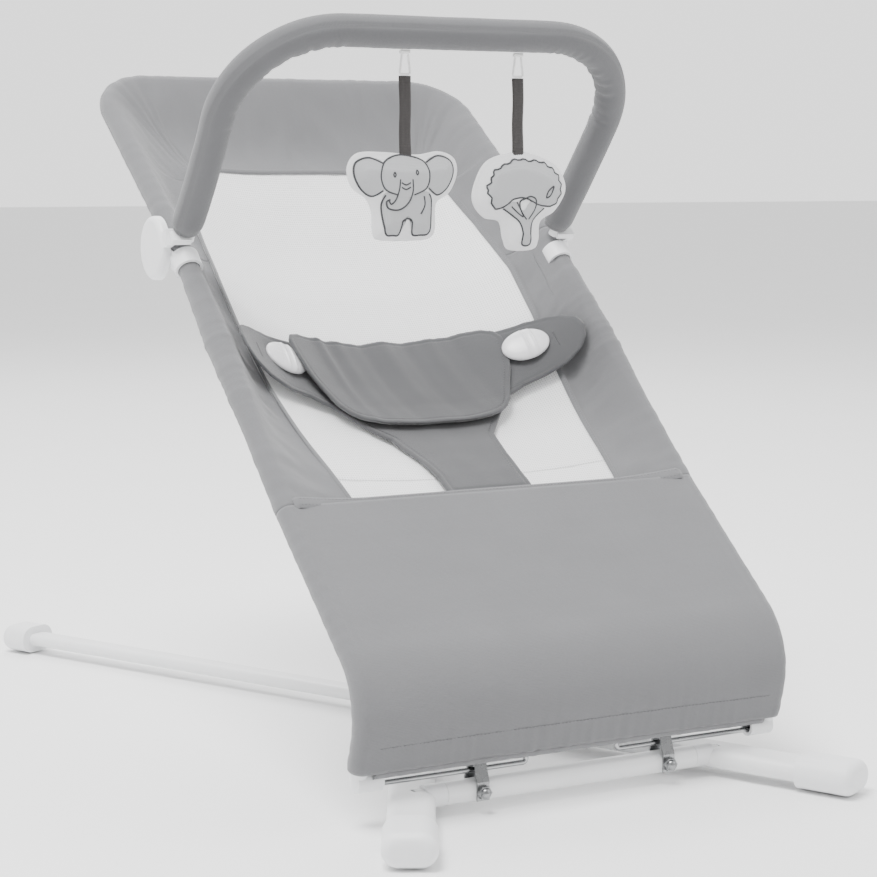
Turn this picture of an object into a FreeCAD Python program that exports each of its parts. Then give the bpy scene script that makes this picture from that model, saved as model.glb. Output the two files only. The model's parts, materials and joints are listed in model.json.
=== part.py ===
"""Baby bouncer seat: a fabric sling on a bent tube frame, sprung on an X-shaped base, with a toy bar.

Millimetres. X points to the sitter's right-hand side as seen from the front, +Y to the rear, +Z up.
The origin is on the floor, midway between the front and rear feet. Places along Y are written from
the crossbar, and at() moves them to the origin.
"""

import FreeCAD, Part
import math
import os
import re

from FreeCAD import Placement, Rotation, Vector

os.makedirs("parts", exist_ok=True)
doc = FreeCAD.newDocument("bouncer_seat")

# ---------------------------------------------------------------- driving dimensions
sheet = doc.addObject("Spreadsheet::Sheet", "params")
DIMENSIONS = {
    # base
    "front_foot_x": 206, "front_foot_y": -114, "rear_foot_x": 242, "rear_foot_y": 744,
    "arm_height": 15, "front_arm_wide": 38, "front_arm_thick": 17, "rear_arm_wide": 25,
    "rear_arm_thick": 12, "arm_wall": 1.6, "arm_overlap": 18, "cross_reach": 56,
    "cap_wide": 43, "cap_tall": 27, "front_cap_long": 50, "rear_cap_long": 34, "cap_round": 8,
    "pad_thick": 2.5,
    "pad_radius": 6, "cross_bolt_radius": 3,
    # crossbar, clamps and spring wires
    "crossbar_radius": 9.5, "crossbar_height": 17.5, "crossbar_reach": 118,
    "journal_radius": 6.5, "journal_reach": 144, "running_gap": 0.05,
    "clamp_place": 88, "clamp_wide": 11, "clamp_thick": 1.6, "bolt_radius": 2.5,
    "wire_radius": 2.3, "wire_pitch": 6.5, "wire_height": 37, "wire_loop": 43,
    "wire_reach": 192,
    # seat frame
    "half_width": 193, "tube_radius": 8, "tube_wall": 1.5, "socket_radius": 8.7,
    "bulge_radius": 60, "bulge_y": 47.5, "bulge_z": 87.4, "hem_lean": 16,
    "hem_tube_end": 46, "crease_y": 130, "crease_z": 229, "back_length": 309,
    "back_angle": 41.7, "head_angle": 35, "head_length": 272, "head_corner": 50,
    "hem_tube_radius": 3.5, "hem_tube_height": 57,
    # sling
    "panel_thick": 4, "mesh_half": 146, "mesh_on_head": 160, "sag": 62, "pad_lift": 4, "wing_thick": 10,
    "flap_thick": 12, "button_x": 123, "button_along": 190, "button_thick": 7,
    # toy bar
    "bar_angle": 51.7, "bar_reach": 242, "bar_half": 197, "bar_foot": 190, "bar_corner": 92,
    "sleeve_radius": 14.5, "core_radius": 5, "sleeve_start": 21, "hub_radius": 29,
    "hub_thick": 9, "hub_face": 213, "pivot_y": 388, "pivot_z": 437,
    # toys
    "left_toy_x": -44, "right_toy_x": 68, "loop_drop": 19, "strap_long": 63, "strap_wide": 12,
    "toy_thick": 14,
}
for row, (alias, value) in enumerate(DIMENSIONS.items(), start=1):
    sheet.set(f"A{row}", alias)
    sheet.set(f"B{row}", str(value))
    sheet.setAlias(f"B{row}", alias)
doc.recompute()


def size(alias):
    """The value of one cell of the sheet."""
    return float(sheet.get(alias))


ORIGIN_Y = (size("front_foot_y") + size("rear_foot_y")) / 2


def at(x, y, z):
    """A place given from the crossbar, in the object's own frame."""
    return Vector(x, y - ORIGIN_Y, z)


SUBPARTS = []


def keep(obj, label):
    """Name a finished sub-part and list it for export."""
    obj.Label = label
    SUBPARTS.append(obj)
    return obj


def bind(obj, **cells):
    """Bind properties to expressions of the sheet's cells."""
    for name, expression in cells.items():
        obj.setExpression(name, expression)
    return obj


def p(expression):
    """Write an expression whose words are cells of the sheet."""
    return re.sub(r"[a-z_]+", lambda word: "<<params>>." + word.group(), expression)


SIDES = (("left", -1), ("right", 1))
ALONG_X = Rotation(Vector(0, 1, 0), 90)
ALONG_Y = Rotation(Vector(1, 0, 0), -90)


# ---------------------------------------------------------------- small builders
def cylinder(name, radius, length, place, turn=None):
    """A Part::Cylinder whose sizes are expressions of the sheet."""
    obj = doc.addObject("Part::Cylinder", name)
    bind(obj, Radius=p(radius), Height=p(length))
    obj.Placement = Placement(place, turn or Rotation())
    return obj


def box(name, length, width, height, corner, turn=None):
    """A Part::Box whose sizes are expressions of the sheet."""
    obj = doc.addObject("Part::Box", name)
    bind(obj, Length=p(length), Width=p(width), Height=p(height))
    obj.Placement = Placement(corner, turn or Rotation())
    return obj


def cut(name, base, tool):
    obj = doc.addObject("Part::Cut", name)
    obj.Base = base
    obj.Tool = tool
    return obj


def fuse(name, *shapes):
    obj = doc.addObject("Part::MultiFuse", name)
    obj.Shapes = list(shapes)
    return obj


def wire_spine(name, edges):
    """A Part::Feature that holds a path of lines and arcs."""
    obj = doc.addObject("Part::Feature", name)
    obj.Shape = Part.Wire(Part.__sortEdges__(edges))
    return obj


def sweep(name, spine, radius):
    """A Part::Sweep of a circle, whose radius is an expression, along a spine."""
    first = spine.Shape.OrderedEdges[0]
    start = spine.Shape.OrderedVertexes[0].Point
    tangent = first.tangentAt(first.FirstParameter)
    if (first.valueAt(first.FirstParameter) - start).Length > 1e-6:
        tangent = first.tangentAt(first.LastParameter).negative()
    ring = doc.addObject("Part::Circle", name + "_ring")
    bind(ring, Radius=p(radius))
    ring.Placement = Placement(start, Rotation(Vector(0, 0, 1), tangent))
    obj = doc.addObject("Part::Sweep", name)
    obj.Sections = [ring]
    obj.Spine = (spine, [f"Edge{i}" for i in range(1, len(spine.Shape.Edges) + 1)])
    obj.Solid = True
    obj.Frenet = True
    obj.Transition = "Transformed"
    return obj


def bent_tube(label, edges, radius, bore):
    """A hollow round tube along a path of lines and arcs."""
    spine = wire_spine(label + "_spine", edges)
    outer = sweep(label + "_outer", spine, radius)
    inner = sweep(label + "_inner", spine, bore)
    return cut(label + "_tube", outer, inner)


def path_edges(points, radii):
    """Straight runs through points, with a tangent arc of the given radius at each inner point."""
    edges = []
    start = points[0]
    for before, corner, after, radius in zip(points, points[1:], points[2:], radii):
        arrive = (corner - before).normalize()
        leave = (after - corner).normalize()
        half = arrive.getAngle(leave) / 2
        reach = radius * math.tan(half)
        first = corner - arrive * reach
        last = corner + leave * reach
        inward = (leave - arrive).normalize()
        middle = corner + inward * (radius / math.cos(half) - radius)
        if (first - start).Length > 1e-6:
            edges.append(Part.LineSegment(start, first).toShape())
        edges.append(Part.Arc(first, middle, last).toShape())
        start = last
    edges.append(Part.LineSegment(start, points[-1]).toShape())
    return edges


def origin_plane(body, role):
    return next(f for f in body.Origin.OriginFeatures if f.Role == role)


def new_body(name):
    return doc.addObject("PartDesign::Body", name)


def sketch_on(body, role, name, edges):
    """A sketch on one of the body's origin planes, holding a closed outline."""
    sketch = body.newObject("Sketcher::SketchObject", name)
    sketch.AttachmentSupport = [(origin_plane(body, role), "")]
    sketch.MapMode = "FlatFace"
    for edge in edges:
        sketch.addGeometry(edge, False)
    return sketch


def pad(body, sketch, length, midplane=False):
    feature = body.newObject("PartDesign::Pad", sketch.Name + "_pad")
    feature.Profile = sketch
    feature.Midplane = midplane
    bind(feature, Length=p(length))
    sketch.Visibility = False
    return feature


def pocket(body, sketch, length, reverse):
    """A pocket that has to take material away, so its direction is tested."""
    doc.recompute()
    before = body.Shape.Volume
    feature = body.newObject("PartDesign::Pocket", sketch.Name + "_pocket")
    feature.Profile = sketch
    feature.Reversed = reverse
    bind(feature, Length=p(length))
    doc.recompute()
    if body.Shape.Volume > before - 1:
        raise RuntimeError(f"{feature.Name} cuts nothing")
    return feature


def soften(body, radius, wanted):
    """A PartDesign fillet on the edges of the body's last feature that wanted() picks."""
    doc.recompute()
    last = body.Tip
    picked = [f"Edge{i}" for i, edge in enumerate(last.Shape.Edges, start=1) if wanted(edge)]
    feature = body.newObject("PartDesign::Fillet", last.Name + "_soft")
    feature.Base = (last, picked)
    bind(feature, Radius=p(radius))
    return feature


def all_at(axis, value):
    """A test for edges whose ends all lie at one coordinate."""
    return lambda edge: all(abs(getattr(v.Point, axis) - value) < 1e-6 for v in edge.Vertexes)


def stadium(width, height):
    """A flat-oval outline: two straight sides and two half rounds, centred on the sketch origin."""
    end = height / 2
    half = width / 2 - end
    left, right = Vector(-half, 0, 0), Vector(half, 0, 0)
    up = Vector(0, end, 0)
    return [
        Part.LineSegment(left + up, right + up),
        Part.Arc(right + up, right + Vector(end, 0, 0), right - up),
        Part.LineSegment(right - up, left - up),
        Part.Arc(left - up, left - Vector(end, 0, 0), left + up),
    ]


def outline(points):
    """A closed outline of straight lines."""
    return [Part.LineSegment(a, b) for a, b in zip(points, points[1:] + points[:1])]


def smooth_outline(points):
    """A closed outline of one smooth curve through the points."""
    curve = Part.BSplineCurve()
    curve.interpolate(points, PeriodicFlag=True)
    return [curve]


# ---------------------------------------------------------------- base
ARM_LINE = Vector(size("front_foot_x") + size("rear_foot_x"),
                  size("front_foot_y") - size("rear_foot_y"), 0)
ARM_TURN = math.degrees(math.atan2(ARM_LINE.x, -ARM_LINE.y))
CROSS_Y = size("rear_foot_y") + ARM_LINE.y * size("rear_foot_x") / ARM_LINE.x
CROSS_TO_FRONT = math.hypot(size("front_foot_x"), size("front_foot_y") - CROSS_Y)
CROSS_TO_REAR = math.hypot(size("rear_foot_x"), size("rear_foot_y") - CROSS_Y)
CAP_WALL = 3


def arm_place(side, height):
    """The crossing of the X, turned so that local -Y runs to the front foot on the given side."""
    return Placement(at(0, CROSS_Y, height), Rotation(Vector(0, 0, 1), side * ARM_TURN))


def arm_tube(label, wide, thick, first, last, side):
    """A straight flat-oval tube along an arm's line, from first to last, towards the front foot."""
    body = new_body(label)
    outer = sketch_on(body, "XZ_Plane", label + "_outer", stadium(wide, thick))
    pad(body, outer, str(last - first))
    wall = 2 * size("arm_wall")
    inner = sketch_on(body, "XZ_Plane", label + "_inner", stadium(wide - wall, thick - wall))
    pocket(body, inner, str(last - first), True)
    body.Placement = arm_place(side, size("arm_height")).multiply(
        Placement(Vector(0, -first, 0), Rotation()))
    return body


front_arms = {}
for side_name, side in SIDES:
    arm = arm_tube(f"front_tube_{side_name}", size("front_arm_wide"), size("front_arm_thick"),
                   -size("cross_reach"), CROSS_TO_FRONT - CAP_WALL, side)
    front_arms[side_name] = arm

# The two front tubes are halved where they cross: one keeps its upper half, the other its lower.
CROSS_GAP = 0.2
NOTCH_LONG, NOTCH_TALL = 120, 20
for side_name, side, lift in (("left", -1, -CROSS_GAP / 2),
                              ("right", 1, CROSS_GAP / 2 - NOTCH_TALL)):
    wide = size("front_arm_wide") + 2 * CROSS_GAP
    notch = box(f"cross_notch_{side_name}", str(wide), str(NOTCH_LONG), str(NOTCH_TALL), Vector())
    notch.Placement = arm_place(-side, size("arm_height") + lift).multiply(
        Placement(Vector(-wide / 2, -NOTCH_LONG / 2, 0), Rotation()))
    front_arms[side_name] = cut(f"front_arm_cut_{side_name}", front_arms[side_name], notch)

bolt_hole = cylinder("cross_hole", "cross_bolt_radius + 0.2", "40", at(0, CROSS_Y, 0))
JOURNAL_HOLE = "journal_radius + 0.3"
journal_hole = cylinder("journal_hole", JOURNAL_HOLE, "2 * journal_reach + 4",
                        at(-size("journal_reach") - 2, 0, size("crossbar_height")), ALONG_X)
for side_name, side in SIDES:
    drilled = cut(f"front_arm_drilled_{side_name}", front_arms[side_name], bolt_hole)
    keep(cut(f"front_arm_{side_name}", drilled, journal_hole), f"front_arm_{side_name}")

PLUG_GAP = 0.1
for side_name, side in SIDES:
    # A rear arm carries on the line of the front arm on the other side, and slips inside it.
    start = -CROSS_TO_REAR + CAP_WALL
    end = -size("cross_reach") + size("arm_overlap")
    rear = arm_tube(f"rear_arm_{side_name}", size("rear_arm_wide"), size("rear_arm_thick"),
                    start, end, -side)
    keep(rear, f"rear_arm_{side_name}")

    # A flat-oval sleeve fills the room between the two arms where they overlap.
    plug = new_body(f"arm_plug_{side_name}_body")
    inside = 2 * size("arm_wall") + 2 * PLUG_GAP
    plug_outer = sketch_on(plug, "XZ_Plane", f"arm_plug_{side_name}_outer",
                           stadium(size("front_arm_wide") - inside, size("front_arm_thick") - inside))
    pad(plug, plug_outer, "arm_overlap - 1")
    plug_inner = sketch_on(plug, "XZ_Plane", f"arm_plug_{side_name}_inner",
                           stadium(size("rear_arm_wide") + 2 * PLUG_GAP,
                                   size("rear_arm_thick") + 2 * PLUG_GAP))
    pocket(plug, plug_inner, "arm_overlap - 1", True)
    plug.Placement = arm_place(-side, size("arm_height")).multiply(
        Placement(Vector(0, size("cross_reach"), 0), Rotation()))
    keep(plug, f"arm_plug_{side_name}")

cross_bolt = fuse(
    "cross_bolt",
    cylinder("cross_bolt_shank", "cross_bolt_radius", "22", at(0, CROSS_Y, 3.6)),
    cylinder("cross_bolt_head", "cross_bolt_radius + 3", "3",
             at(0, CROSS_Y, size("arm_height") + size("front_arm_thick") / 2 + 0.05)))
keep(cross_bolt, "cross_bolt")
nut_blank = doc.addObject("Part::Prism", "cross_nut_blank")
nut_blank.Polygon = 6
bind(nut_blank, Circumradius=p("cross_bolt_radius + 2.8"), Height="2.6")
nut_blank.Placement = Placement(
    at(0, CROSS_Y, size("arm_height") - size("front_arm_thick") / 2 - 2.65), Rotation())
keep(cut("cross_nut", nut_blank, cylinder("cross_nut_bore", "cross_bolt_radius + 0.02", "20",
                                          at(0, CROSS_Y, 0))), "cross_nut")

# Four end caps, each with a rubber pad let into its underside.
pads = []
for end_name, distance, tube_wide, tube_thick, turn in (
        ("front", CROSS_TO_FRONT, size("front_arm_wide"), size("front_arm_thick"), 1),
        ("rear", CROSS_TO_REAR, size("rear_arm_wide"), size("rear_arm_thick"), -1)):
    cap_long = size(f"{end_name}_cap_long")
    for side_name, side in SIDES:
        label = f"foot_cap_{end_name}_{side_name}"
        body = new_body(label + "_body")
        block = sketch_on(body, "XZ_Plane", label + "_block",
                          stadium(size("cap_wide"), size("cap_tall")))
        pad(body, block, f"{end_name}_cap_long")
        soften(body, "cap_round", all_at("y", -cap_long))
        hole = sketch_on(body, "XZ_Plane", label + "_mouth",
                         stadium(tube_wide + 0.2, tube_thick + 0.2))
        pocket(body, hole, f"{end_name}_cap_long - {CAP_WALL}", True)
        # The cap is level with its arm, so its pad lifts it just off the floor.
        if turn > 0:
            place = arm_place(side, size("arm_height"))
        else:
            place = arm_place(-side, size("arm_height")).multiply(
                Placement(Vector(), Rotation(Vector(0, 0, 1), 180)))
        body.Placement = place.multiply(
            Placement(Vector(0, cap_long - distance, 0), Rotation()))
        doc.recompute()
        seat_at = body.Placement.multVec(Vector(0, -cap_long / 2, 0))
        recess = cylinder(label + "_recess", "pad_radius + 0.1", "pad_thick",
                          Vector(seat_at.x, seat_at.y, 0))
        keep(cut(label + "_cap", body, recess), label)
        pads.append(cylinder(label + "_pad", "pad_radius", "pad_thick - 0.1",
                             Vector(seat_at.x, seat_at.y, 0)))
keep(fuse("foot_pads", *pads), "foot_pads")

rivets = []
for side_name, side in SIDES:
    spot = arm_place(side, 0).multVec(Vector(0, size("cross_reach") - 16, 0))
    rivets.append(cylinder(f"rivet_{side_name}", "2.4", "1.6",
                           Vector(spot.x, spot.y, size("arm_height")
                                  + size("front_arm_thick") / 2)))
keep(fuse("arm_rivets", *rivets), "arm_rivets")

# ---------------------------------------------------------------- crossbar with its spring wires
BAR_Z = size("crossbar_height")
tube = cylinder("crossbar_outer", "crossbar_radius", "2 * crossbar_reach",
                at(-size("crossbar_reach"), 0, BAR_Z), ALONG_X)
journals = cylinder("crossbar_journals", "journal_radius", "2 * journal_reach",
                    at(-size("journal_reach"), 0, BAR_Z), ALONG_X)
bore = cylinder("crossbar_bore", "journal_radius - 2", "2 * journal_reach",
                at(-size("journal_reach"), 0, BAR_Z), ALONG_X)
bolts_through = []
for side_name, side in SIDES:
    bolts_through.append(cylinder(f"bolt_way_{side_name}", "bolt_radius + 0.1", "40",
                                  at(side * size("clamp_place"), -20, BAR_Z), ALONG_Y))
crossbar_solid = cut("crossbar_hollow", fuse("crossbar_solid", tube, journals), bore)
keep(cut("crossbar", crossbar_solid, fuse("bolt_ways", *bolts_through)), "crossbar")

for side_name, side in SIDES:
    # The bush fills the wedge between the crossbar's square end and the slanting arm.
    near = side * (size("crossbar_reach") + 0.3)
    blank = cylinder(f"pivot_bush_blank_{side_name}", "crossbar_radius", "26",
                     at(near if side > 0 else near - 26, 0, BAR_Z), ALONG_X)
    arm_block = new_body(f"arm_shape_{side_name}")
    arm_face = sketch_on(arm_block, "XZ_Plane", f"arm_shape_{side_name}_face",
                         stadium(size("front_arm_wide") + 0.1, size("front_arm_thick") + 0.1))
    pad(arm_block, arm_face, "460")
    arm_block.Placement = arm_place(side, size("arm_height"))
    far_box = box(f"far_side_{side_name}", "60", "60", "60",
                  at(side * 136 - (0 if side > 0 else 60), -30, -10))
    shaped = cut(f"pivot_bush_shaped_{side_name}",
                 cut(f"pivot_bush_coped_{side_name}", blank, arm_block), far_box)
    bored = cylinder(f"pivot_bush_bore_{side_name}", "journal_radius + running_gap", "80",
                     at(side * 136 - 40, 0, BAR_Z), ALONG_X)
    keep(cut(f"pivot_bush_{side_name}", shaped, bored), f"pivot_bush_{side_name}")

    ring = cylinder(f"lock_ring_outer_{side_name}", "journal_radius - 2.05", "18",
                    at(side * size("journal_reach") - (16 if side > 0 else 2), 0, BAR_Z), ALONG_X)
    keep(ring, f"lock_plug_{side_name}")

WIRE_Z = size("wire_height")
HALF_PITCH = size("wire_pitch") / 2
for side_name, side in SIDES:
    upper = at(side * size("wire_reach"), 0, WIRE_Z + HALF_PITCH)
    upper_turn = at(side * (size("wire_loop") + HALF_PITCH), 0, WIRE_Z + HALF_PITCH)
    loop_end = at(side * size("wire_loop"), 0, WIRE_Z)
    lower_turn = at(side * (size("wire_loop") + HALF_PITCH), 0, WIRE_Z - HALF_PITCH)
    lower = at(side * size("wire_reach"), 0, WIRE_Z - HALF_PITCH)
    edges = [Part.LineSegment(upper, upper_turn).toShape(),
             Part.Arc(upper_turn, loop_end, lower_turn).toShape(),
             Part.LineSegment(lower_turn, lower).toShape()]
    spine = wire_spine(f"spring_wire_{side_name}_spine", edges)
    keep(sweep(f"spring_wire_{side_name}", spine, "wire_radius"), f"spring_wire_{side_name}")

# Each clamp is a strap bent over the wire pair, with two legs bolted through the crossbar.
STRAP = size("clamp_thick")
WIRE_TOP = WIRE_Z + HALF_PITCH + size("wire_radius") + 0.05
GRIP = size("crossbar_radius") + 0.05
bolts, nuts = [], []
for side_name, side in SIDES:
    label = f"wire_clamp_{side_name}"
    body = new_body(label + "_body")
    low = BAR_Z - 7
    outer = [Vector(-GRIP - STRAP, low, 0), Vector(-GRIP - STRAP, BAR_Z + 8, 0),
             Vector(-4 - STRAP, WIRE_TOP - 3, 0), Vector(-3, WIRE_TOP + STRAP, 0),
             Vector(3, WIRE_TOP + STRAP, 0), Vector(4 + STRAP, WIRE_TOP - 3, 0),
             Vector(GRIP + STRAP, BAR_Z + 8, 0), Vector(GRIP + STRAP, low, 0),
             Vector(GRIP, low, 0), Vector(GRIP, BAR_Z + 7, 0), Vector(4, WIRE_TOP - 3.4, 0),
             Vector(2.4, WIRE_TOP, 0), Vector(-2.4, WIRE_TOP, 0), Vector(-4, WIRE_TOP - 3.4, 0),
             Vector(-GRIP, BAR_Z + 7, 0), Vector(-GRIP, low, 0)]
    strap = sketch_on(body, "YZ_Plane", label + "_strap", outline(outer))
    pad(body, strap, "clamp_wide", midplane=True)
    body.Placement = Placement(at(side * size("clamp_place"), 0, 0), Rotation())
    way = cylinder(f"clamp_way_{side_name}", "bolt_radius + 0.1", "40",
                   at(side * size("clamp_place"), -20, BAR_Z), ALONG_Y)
    keep(cut(label + "_drilled", body, way), label)

    face = GRIP + STRAP + 0.05
    bolts.append(fuse(
        f"clamp_bolt_{side_name}",
        cylinder(f"clamp_shank_{side_name}", "bolt_radius", str(face + 4 + face),
                 at(side * size("clamp_place"), -face - 4, BAR_Z), ALONG_Y),
        cylinder(f"clamp_head_{side_name}", "bolt_radius + 2.4", "3.2",
                 at(side * size("clamp_place"), face, BAR_Z), ALONG_Y)))
    hexagon = doc.addObject("Part::Prism", f"dome_hex_{side_name}")
    hexagon.Polygon = 6
    bind(hexagon, Circumradius=p("bolt_radius + 3.4"), Height="4")
    hexagon.Placement = Placement(at(side * size("clamp_place"), -face, BAR_Z),
                                  Rotation(Vector(1, 0, 0), 90))
    dome = doc.addObject("Part::Sphere", f"dome_top_{side_name}")
    bind(dome, Radius=p("bolt_radius + 2.3"))
    dome.Placement = Placement(at(side * size("clamp_place"), -face - 3.2, BAR_Z), Rotation())
    stud_hole = cylinder(f"dome_hole_{side_name}", "bolt_radius + 0.03", str(5.1),
                         at(side * size("clamp_place"), -face - 4.1, BAR_Z), ALONG_Y)
    behind = box(f"dome_behind_{side_name}", "20", "20", "20",
                 at(side * size("clamp_place") - 10, -face, BAR_Z - 10))
    whole = fuse(f"dome_nut_{side_name}", hexagon, dome)
    nuts.append(cut(f"dome_nut_cut_{side_name}",
                    cut(f"dome_nut_bored_{side_name}", whole, stud_hole), behind))
keep(fuse("clamp_bolts", *bolts), "clamp_bolts")
keep(fuse("clamp_nuts", *nuts), "clamp_nuts")

# ---------------------------------------------------------------- seat frame
to_crease = (size("crease_y") - size("bulge_y"), size("crease_z") - size("bulge_z"))
SHIN = (math.atan2(to_crease[1], to_crease[0])
        - math.asin(size("bulge_radius") / math.hypot(*to_crease)))
BACK = math.radians(size("back_angle"))
HEAD = math.radians(size("head_angle"))
LEAN = math.radians(size("hem_lean"))
BULGE = size("bulge_radius")
bulge_low = (size("bulge_y") - BULGE * math.cos(LEAN), size("bulge_z") - BULGE * math.sin(LEAN))
bulge_high = (size("bulge_y") - BULGE * math.sin(SHIN), size("bulge_z") + BULGE * math.cos(SHIN))
hem_drop = bulge_low[1] - size("hem_tube_end")
hem_end = (bulge_low[0] + hem_drop * math.tan(LEAN), size("hem_tube_end"))
crease = (size("crease_y"), size("crease_z"))
hub = (crease[0] + size("back_length") * math.cos(BACK),
       crease[1] + size("back_length") * math.sin(BACK))
head_top = (hub[0] + size("head_length") * math.cos(HEAD),
            hub[1] + size("head_length") * math.sin(HEAD))


def profile_y(height):
    """Where the straight hem part of the side tube stands at a height."""
    return hem_end[0] - (height - hem_end[1]) * math.tan(LEAN)


for side_name, side in SIDES:
    x = side * size("half_width")
    low, high = at(x, *bulge_low), at(x, *bulge_high)
    front = at(x, size("bulge_y") - BULGE, size("bulge_z"))
    edges = [Part.LineSegment(at(x, *hem_end), low).toShape(), Part.Arc(low, front, high).toShape()]
    edges += path_edges([high, at(x, *crease), at(x, *hub)], [260])
    keep(bent_tube(f"side_tube_{side_name}", edges, "tube_radius", "tube_radius - tube_wall"),
         f"side_tube_{side_name}")

half = size("half_width")
BUTT_GAP = 1.1
# The head tube starts just past the bend, so its square ends clear the side tubes' square ends.
head_foot = (hub[0] + BUTT_GAP * math.cos(HEAD), hub[1] + BUTT_GAP * math.sin(HEAD))
head_points = [at(-half, *head_foot), at(-half, *head_top), at(half, *head_top),
               at(half, *head_foot)]
head_edges = path_edges(head_points, [size("head_corner")] * 2)
keep(bent_tube("head_tube", head_edges, "tube_radius", "tube_radius - tube_wall"), "head_tube")

# The head tube and the side tubes butt at the hubs over a short inner joiner.
joiners = []
for side_name, side in SIDES:
    x = side * half
    middle = at(x, *hub)
    down = Vector(0, -math.cos(BACK), -math.sin(BACK))
    up = Vector(0, math.cos(HEAD), math.sin(HEAD))
    spine = wire_spine(f"joiner_spine_{side_name}",
                       path_edges([middle + down * 28, middle, middle + up * 28], [150]))
    joiners.append(sweep(f"joiner_{side_name}", spine, "tube_radius - tube_wall - 0.25"))
keep(fuse("tube_joiners", *joiners), "tube_joiners")

hem_y = profile_y(size("hem_tube_height")) + 3
keep(cylinder("hem_tube", "hem_tube_radius", "2 * half_width - 2 * tube_radius - 0.4",
              at(-half + size("tube_radius") + 0.2, hem_y, size("hem_tube_height")), ALONG_X),
     "hem_tube")

SOCKET_LONG, SOCKET_INWARD, POCKET_DEEP = 22, 19, 19.3
for side_name, side in SIDES:
    x = side * half
    inner_end = side * (half - SOCKET_INWARD)
    barrel = cylinder(f"socket_barrel_{side_name}", "socket_radius", str(SOCKET_LONG),
                      at(inner_end if side > 0 else inner_end - SOCKET_LONG, 0, WIRE_Z), ALONG_X)
    up = Vector(0, -math.sin(LEAN), math.cos(LEAN))
    spigot_turn = Rotation(Vector(0, 0, 1), up)
    spigot = cylinder(f"socket_spigot_{side_name}", "tube_radius - tube_wall - 0.1", "34",
                      at(x, *hem_end) - up * 8, spigot_turn)
    solid = fuse(f"socket_solid_{side_name}", barrel, spigot)
    cavity = cylinder(f"socket_cavity_{side_name}", "wire_pitch / 2 + wire_radius + 0.45",
                      str(POCKET_DEEP + 1),
                      at(inner_end - (1 if side > 0 else POCKET_DEEP), 0, WIRE_Z), ALONG_X)
    keep(cut(f"spring_socket_{side_name}", solid, cavity), f"spring_socket_{side_name}")


# ---------------------------------------------------------------- sling
def on_back(x, along, out):
    """A place on the sling: along the back from the crease, and out from the frame's plane."""
    if along <= size("back_length"):
        y = crease[0] + along * math.cos(BACK) - out * math.sin(BACK)
        z = crease[1] + along * math.sin(BACK) + out * math.cos(BACK)
    else:
        more = along - size("back_length")
        y = hub[0] + more * math.cos(HEAD) - out * math.sin(HEAD)
        z = hub[1] + more * math.sin(HEAD) + out * math.cos(HEAD)
    return at(x, y, z)


PANEL_EDGE = half - size("tube_radius") - 0.5
HANG = 2.6


def sag_at(x, depth):
    """How far the sling hangs below the frame's plane at x, when its middle hangs by depth."""
    return -depth * (1 - abs(x / PANEL_EDGE) ** HANG)


def sling_panel(label, across, stations, lift=0, thick=size("panel_thick")):
    """A thin solid across the frame, through stations of (along, sag at the middle)."""
    wires = []
    for along, depth in stations:
        under = lift - thick if lift == 0 else lift
        low = [on_back(x, along, sag_at(x, depth) + under) for x in across]
        high = [on_back(x, along, sag_at(x, depth) + under + thick) for x in reversed(across)]
        wires.append(Part.makePolygon(low + high + low[:1]))
    obj = doc.addObject("Part::Feature", label)
    obj.Shape = Part.makeLoft(wires, True, True)
    return keep(obj, label)


MESH = size("mesh_half")
SAG = size("sag")
MESH_TOP = size("back_length") + size("mesh_on_head")
PANEL_GAP = 0.4
MIDDLE = [-MESH, -MESH / 2, 0, MESH / 2, MESH]
HEAD_START = size("back_length") + 8
head_end = size("back_length") + size("head_length") - size("tube_radius") - 1
corner_start = head_end - size("head_corner")
narrow = half - size("head_corner")
back_stations = [(6, 1), (50, 0.23 * SAG), (102, 0.62 * SAG), (174, SAG), (300, SAG)]
side_stations = back_stations[:-1] + [(280, SAG)]
head_stations = [(HEAD_START, SAG), (HEAD_START + 60, SAG), (MESH_TOP, 0.6 * SAG)]
sling_panel("mesh_panel", MIDDLE, back_stations)
sling_panel("mesh_panel_upper", MIDDLE, head_stations)
for side_name, side in SIDES:
    edge = sorted([side * (MESH + PANEL_GAP), side * (MESH + PANEL_EDGE) / 2, side * PANEL_EDGE])
    sling_panel(f"side_panel_{side_name}", edge, side_stations)
    sling_panel(f"side_panel_upper_{side_name}", edge, head_stations)
sling_panel("head_panel", [-PANEL_EDGE, *MIDDLE, PANEL_EDGE],
            [(MESH_TOP + PANEL_GAP, 0.6 * SAG), (corner_start - 2, 0.42 * SAG)])
sling_panel("head_panel_top", [-narrow, -narrow / 2, 0, narrow / 2, narrow],
            [(corner_start, 0.38 * SAG), (head_end, 1)])

# The leg panel follows the frame's bulge from the hem to the crease.
body = new_body("leg_panel_body")
thick = size("panel_thick")


def band_point(centre, radius, angle):
    return Vector(centre[0] + radius * math.cos(angle), centre[1] + radius * math.sin(angle), 0)


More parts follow.
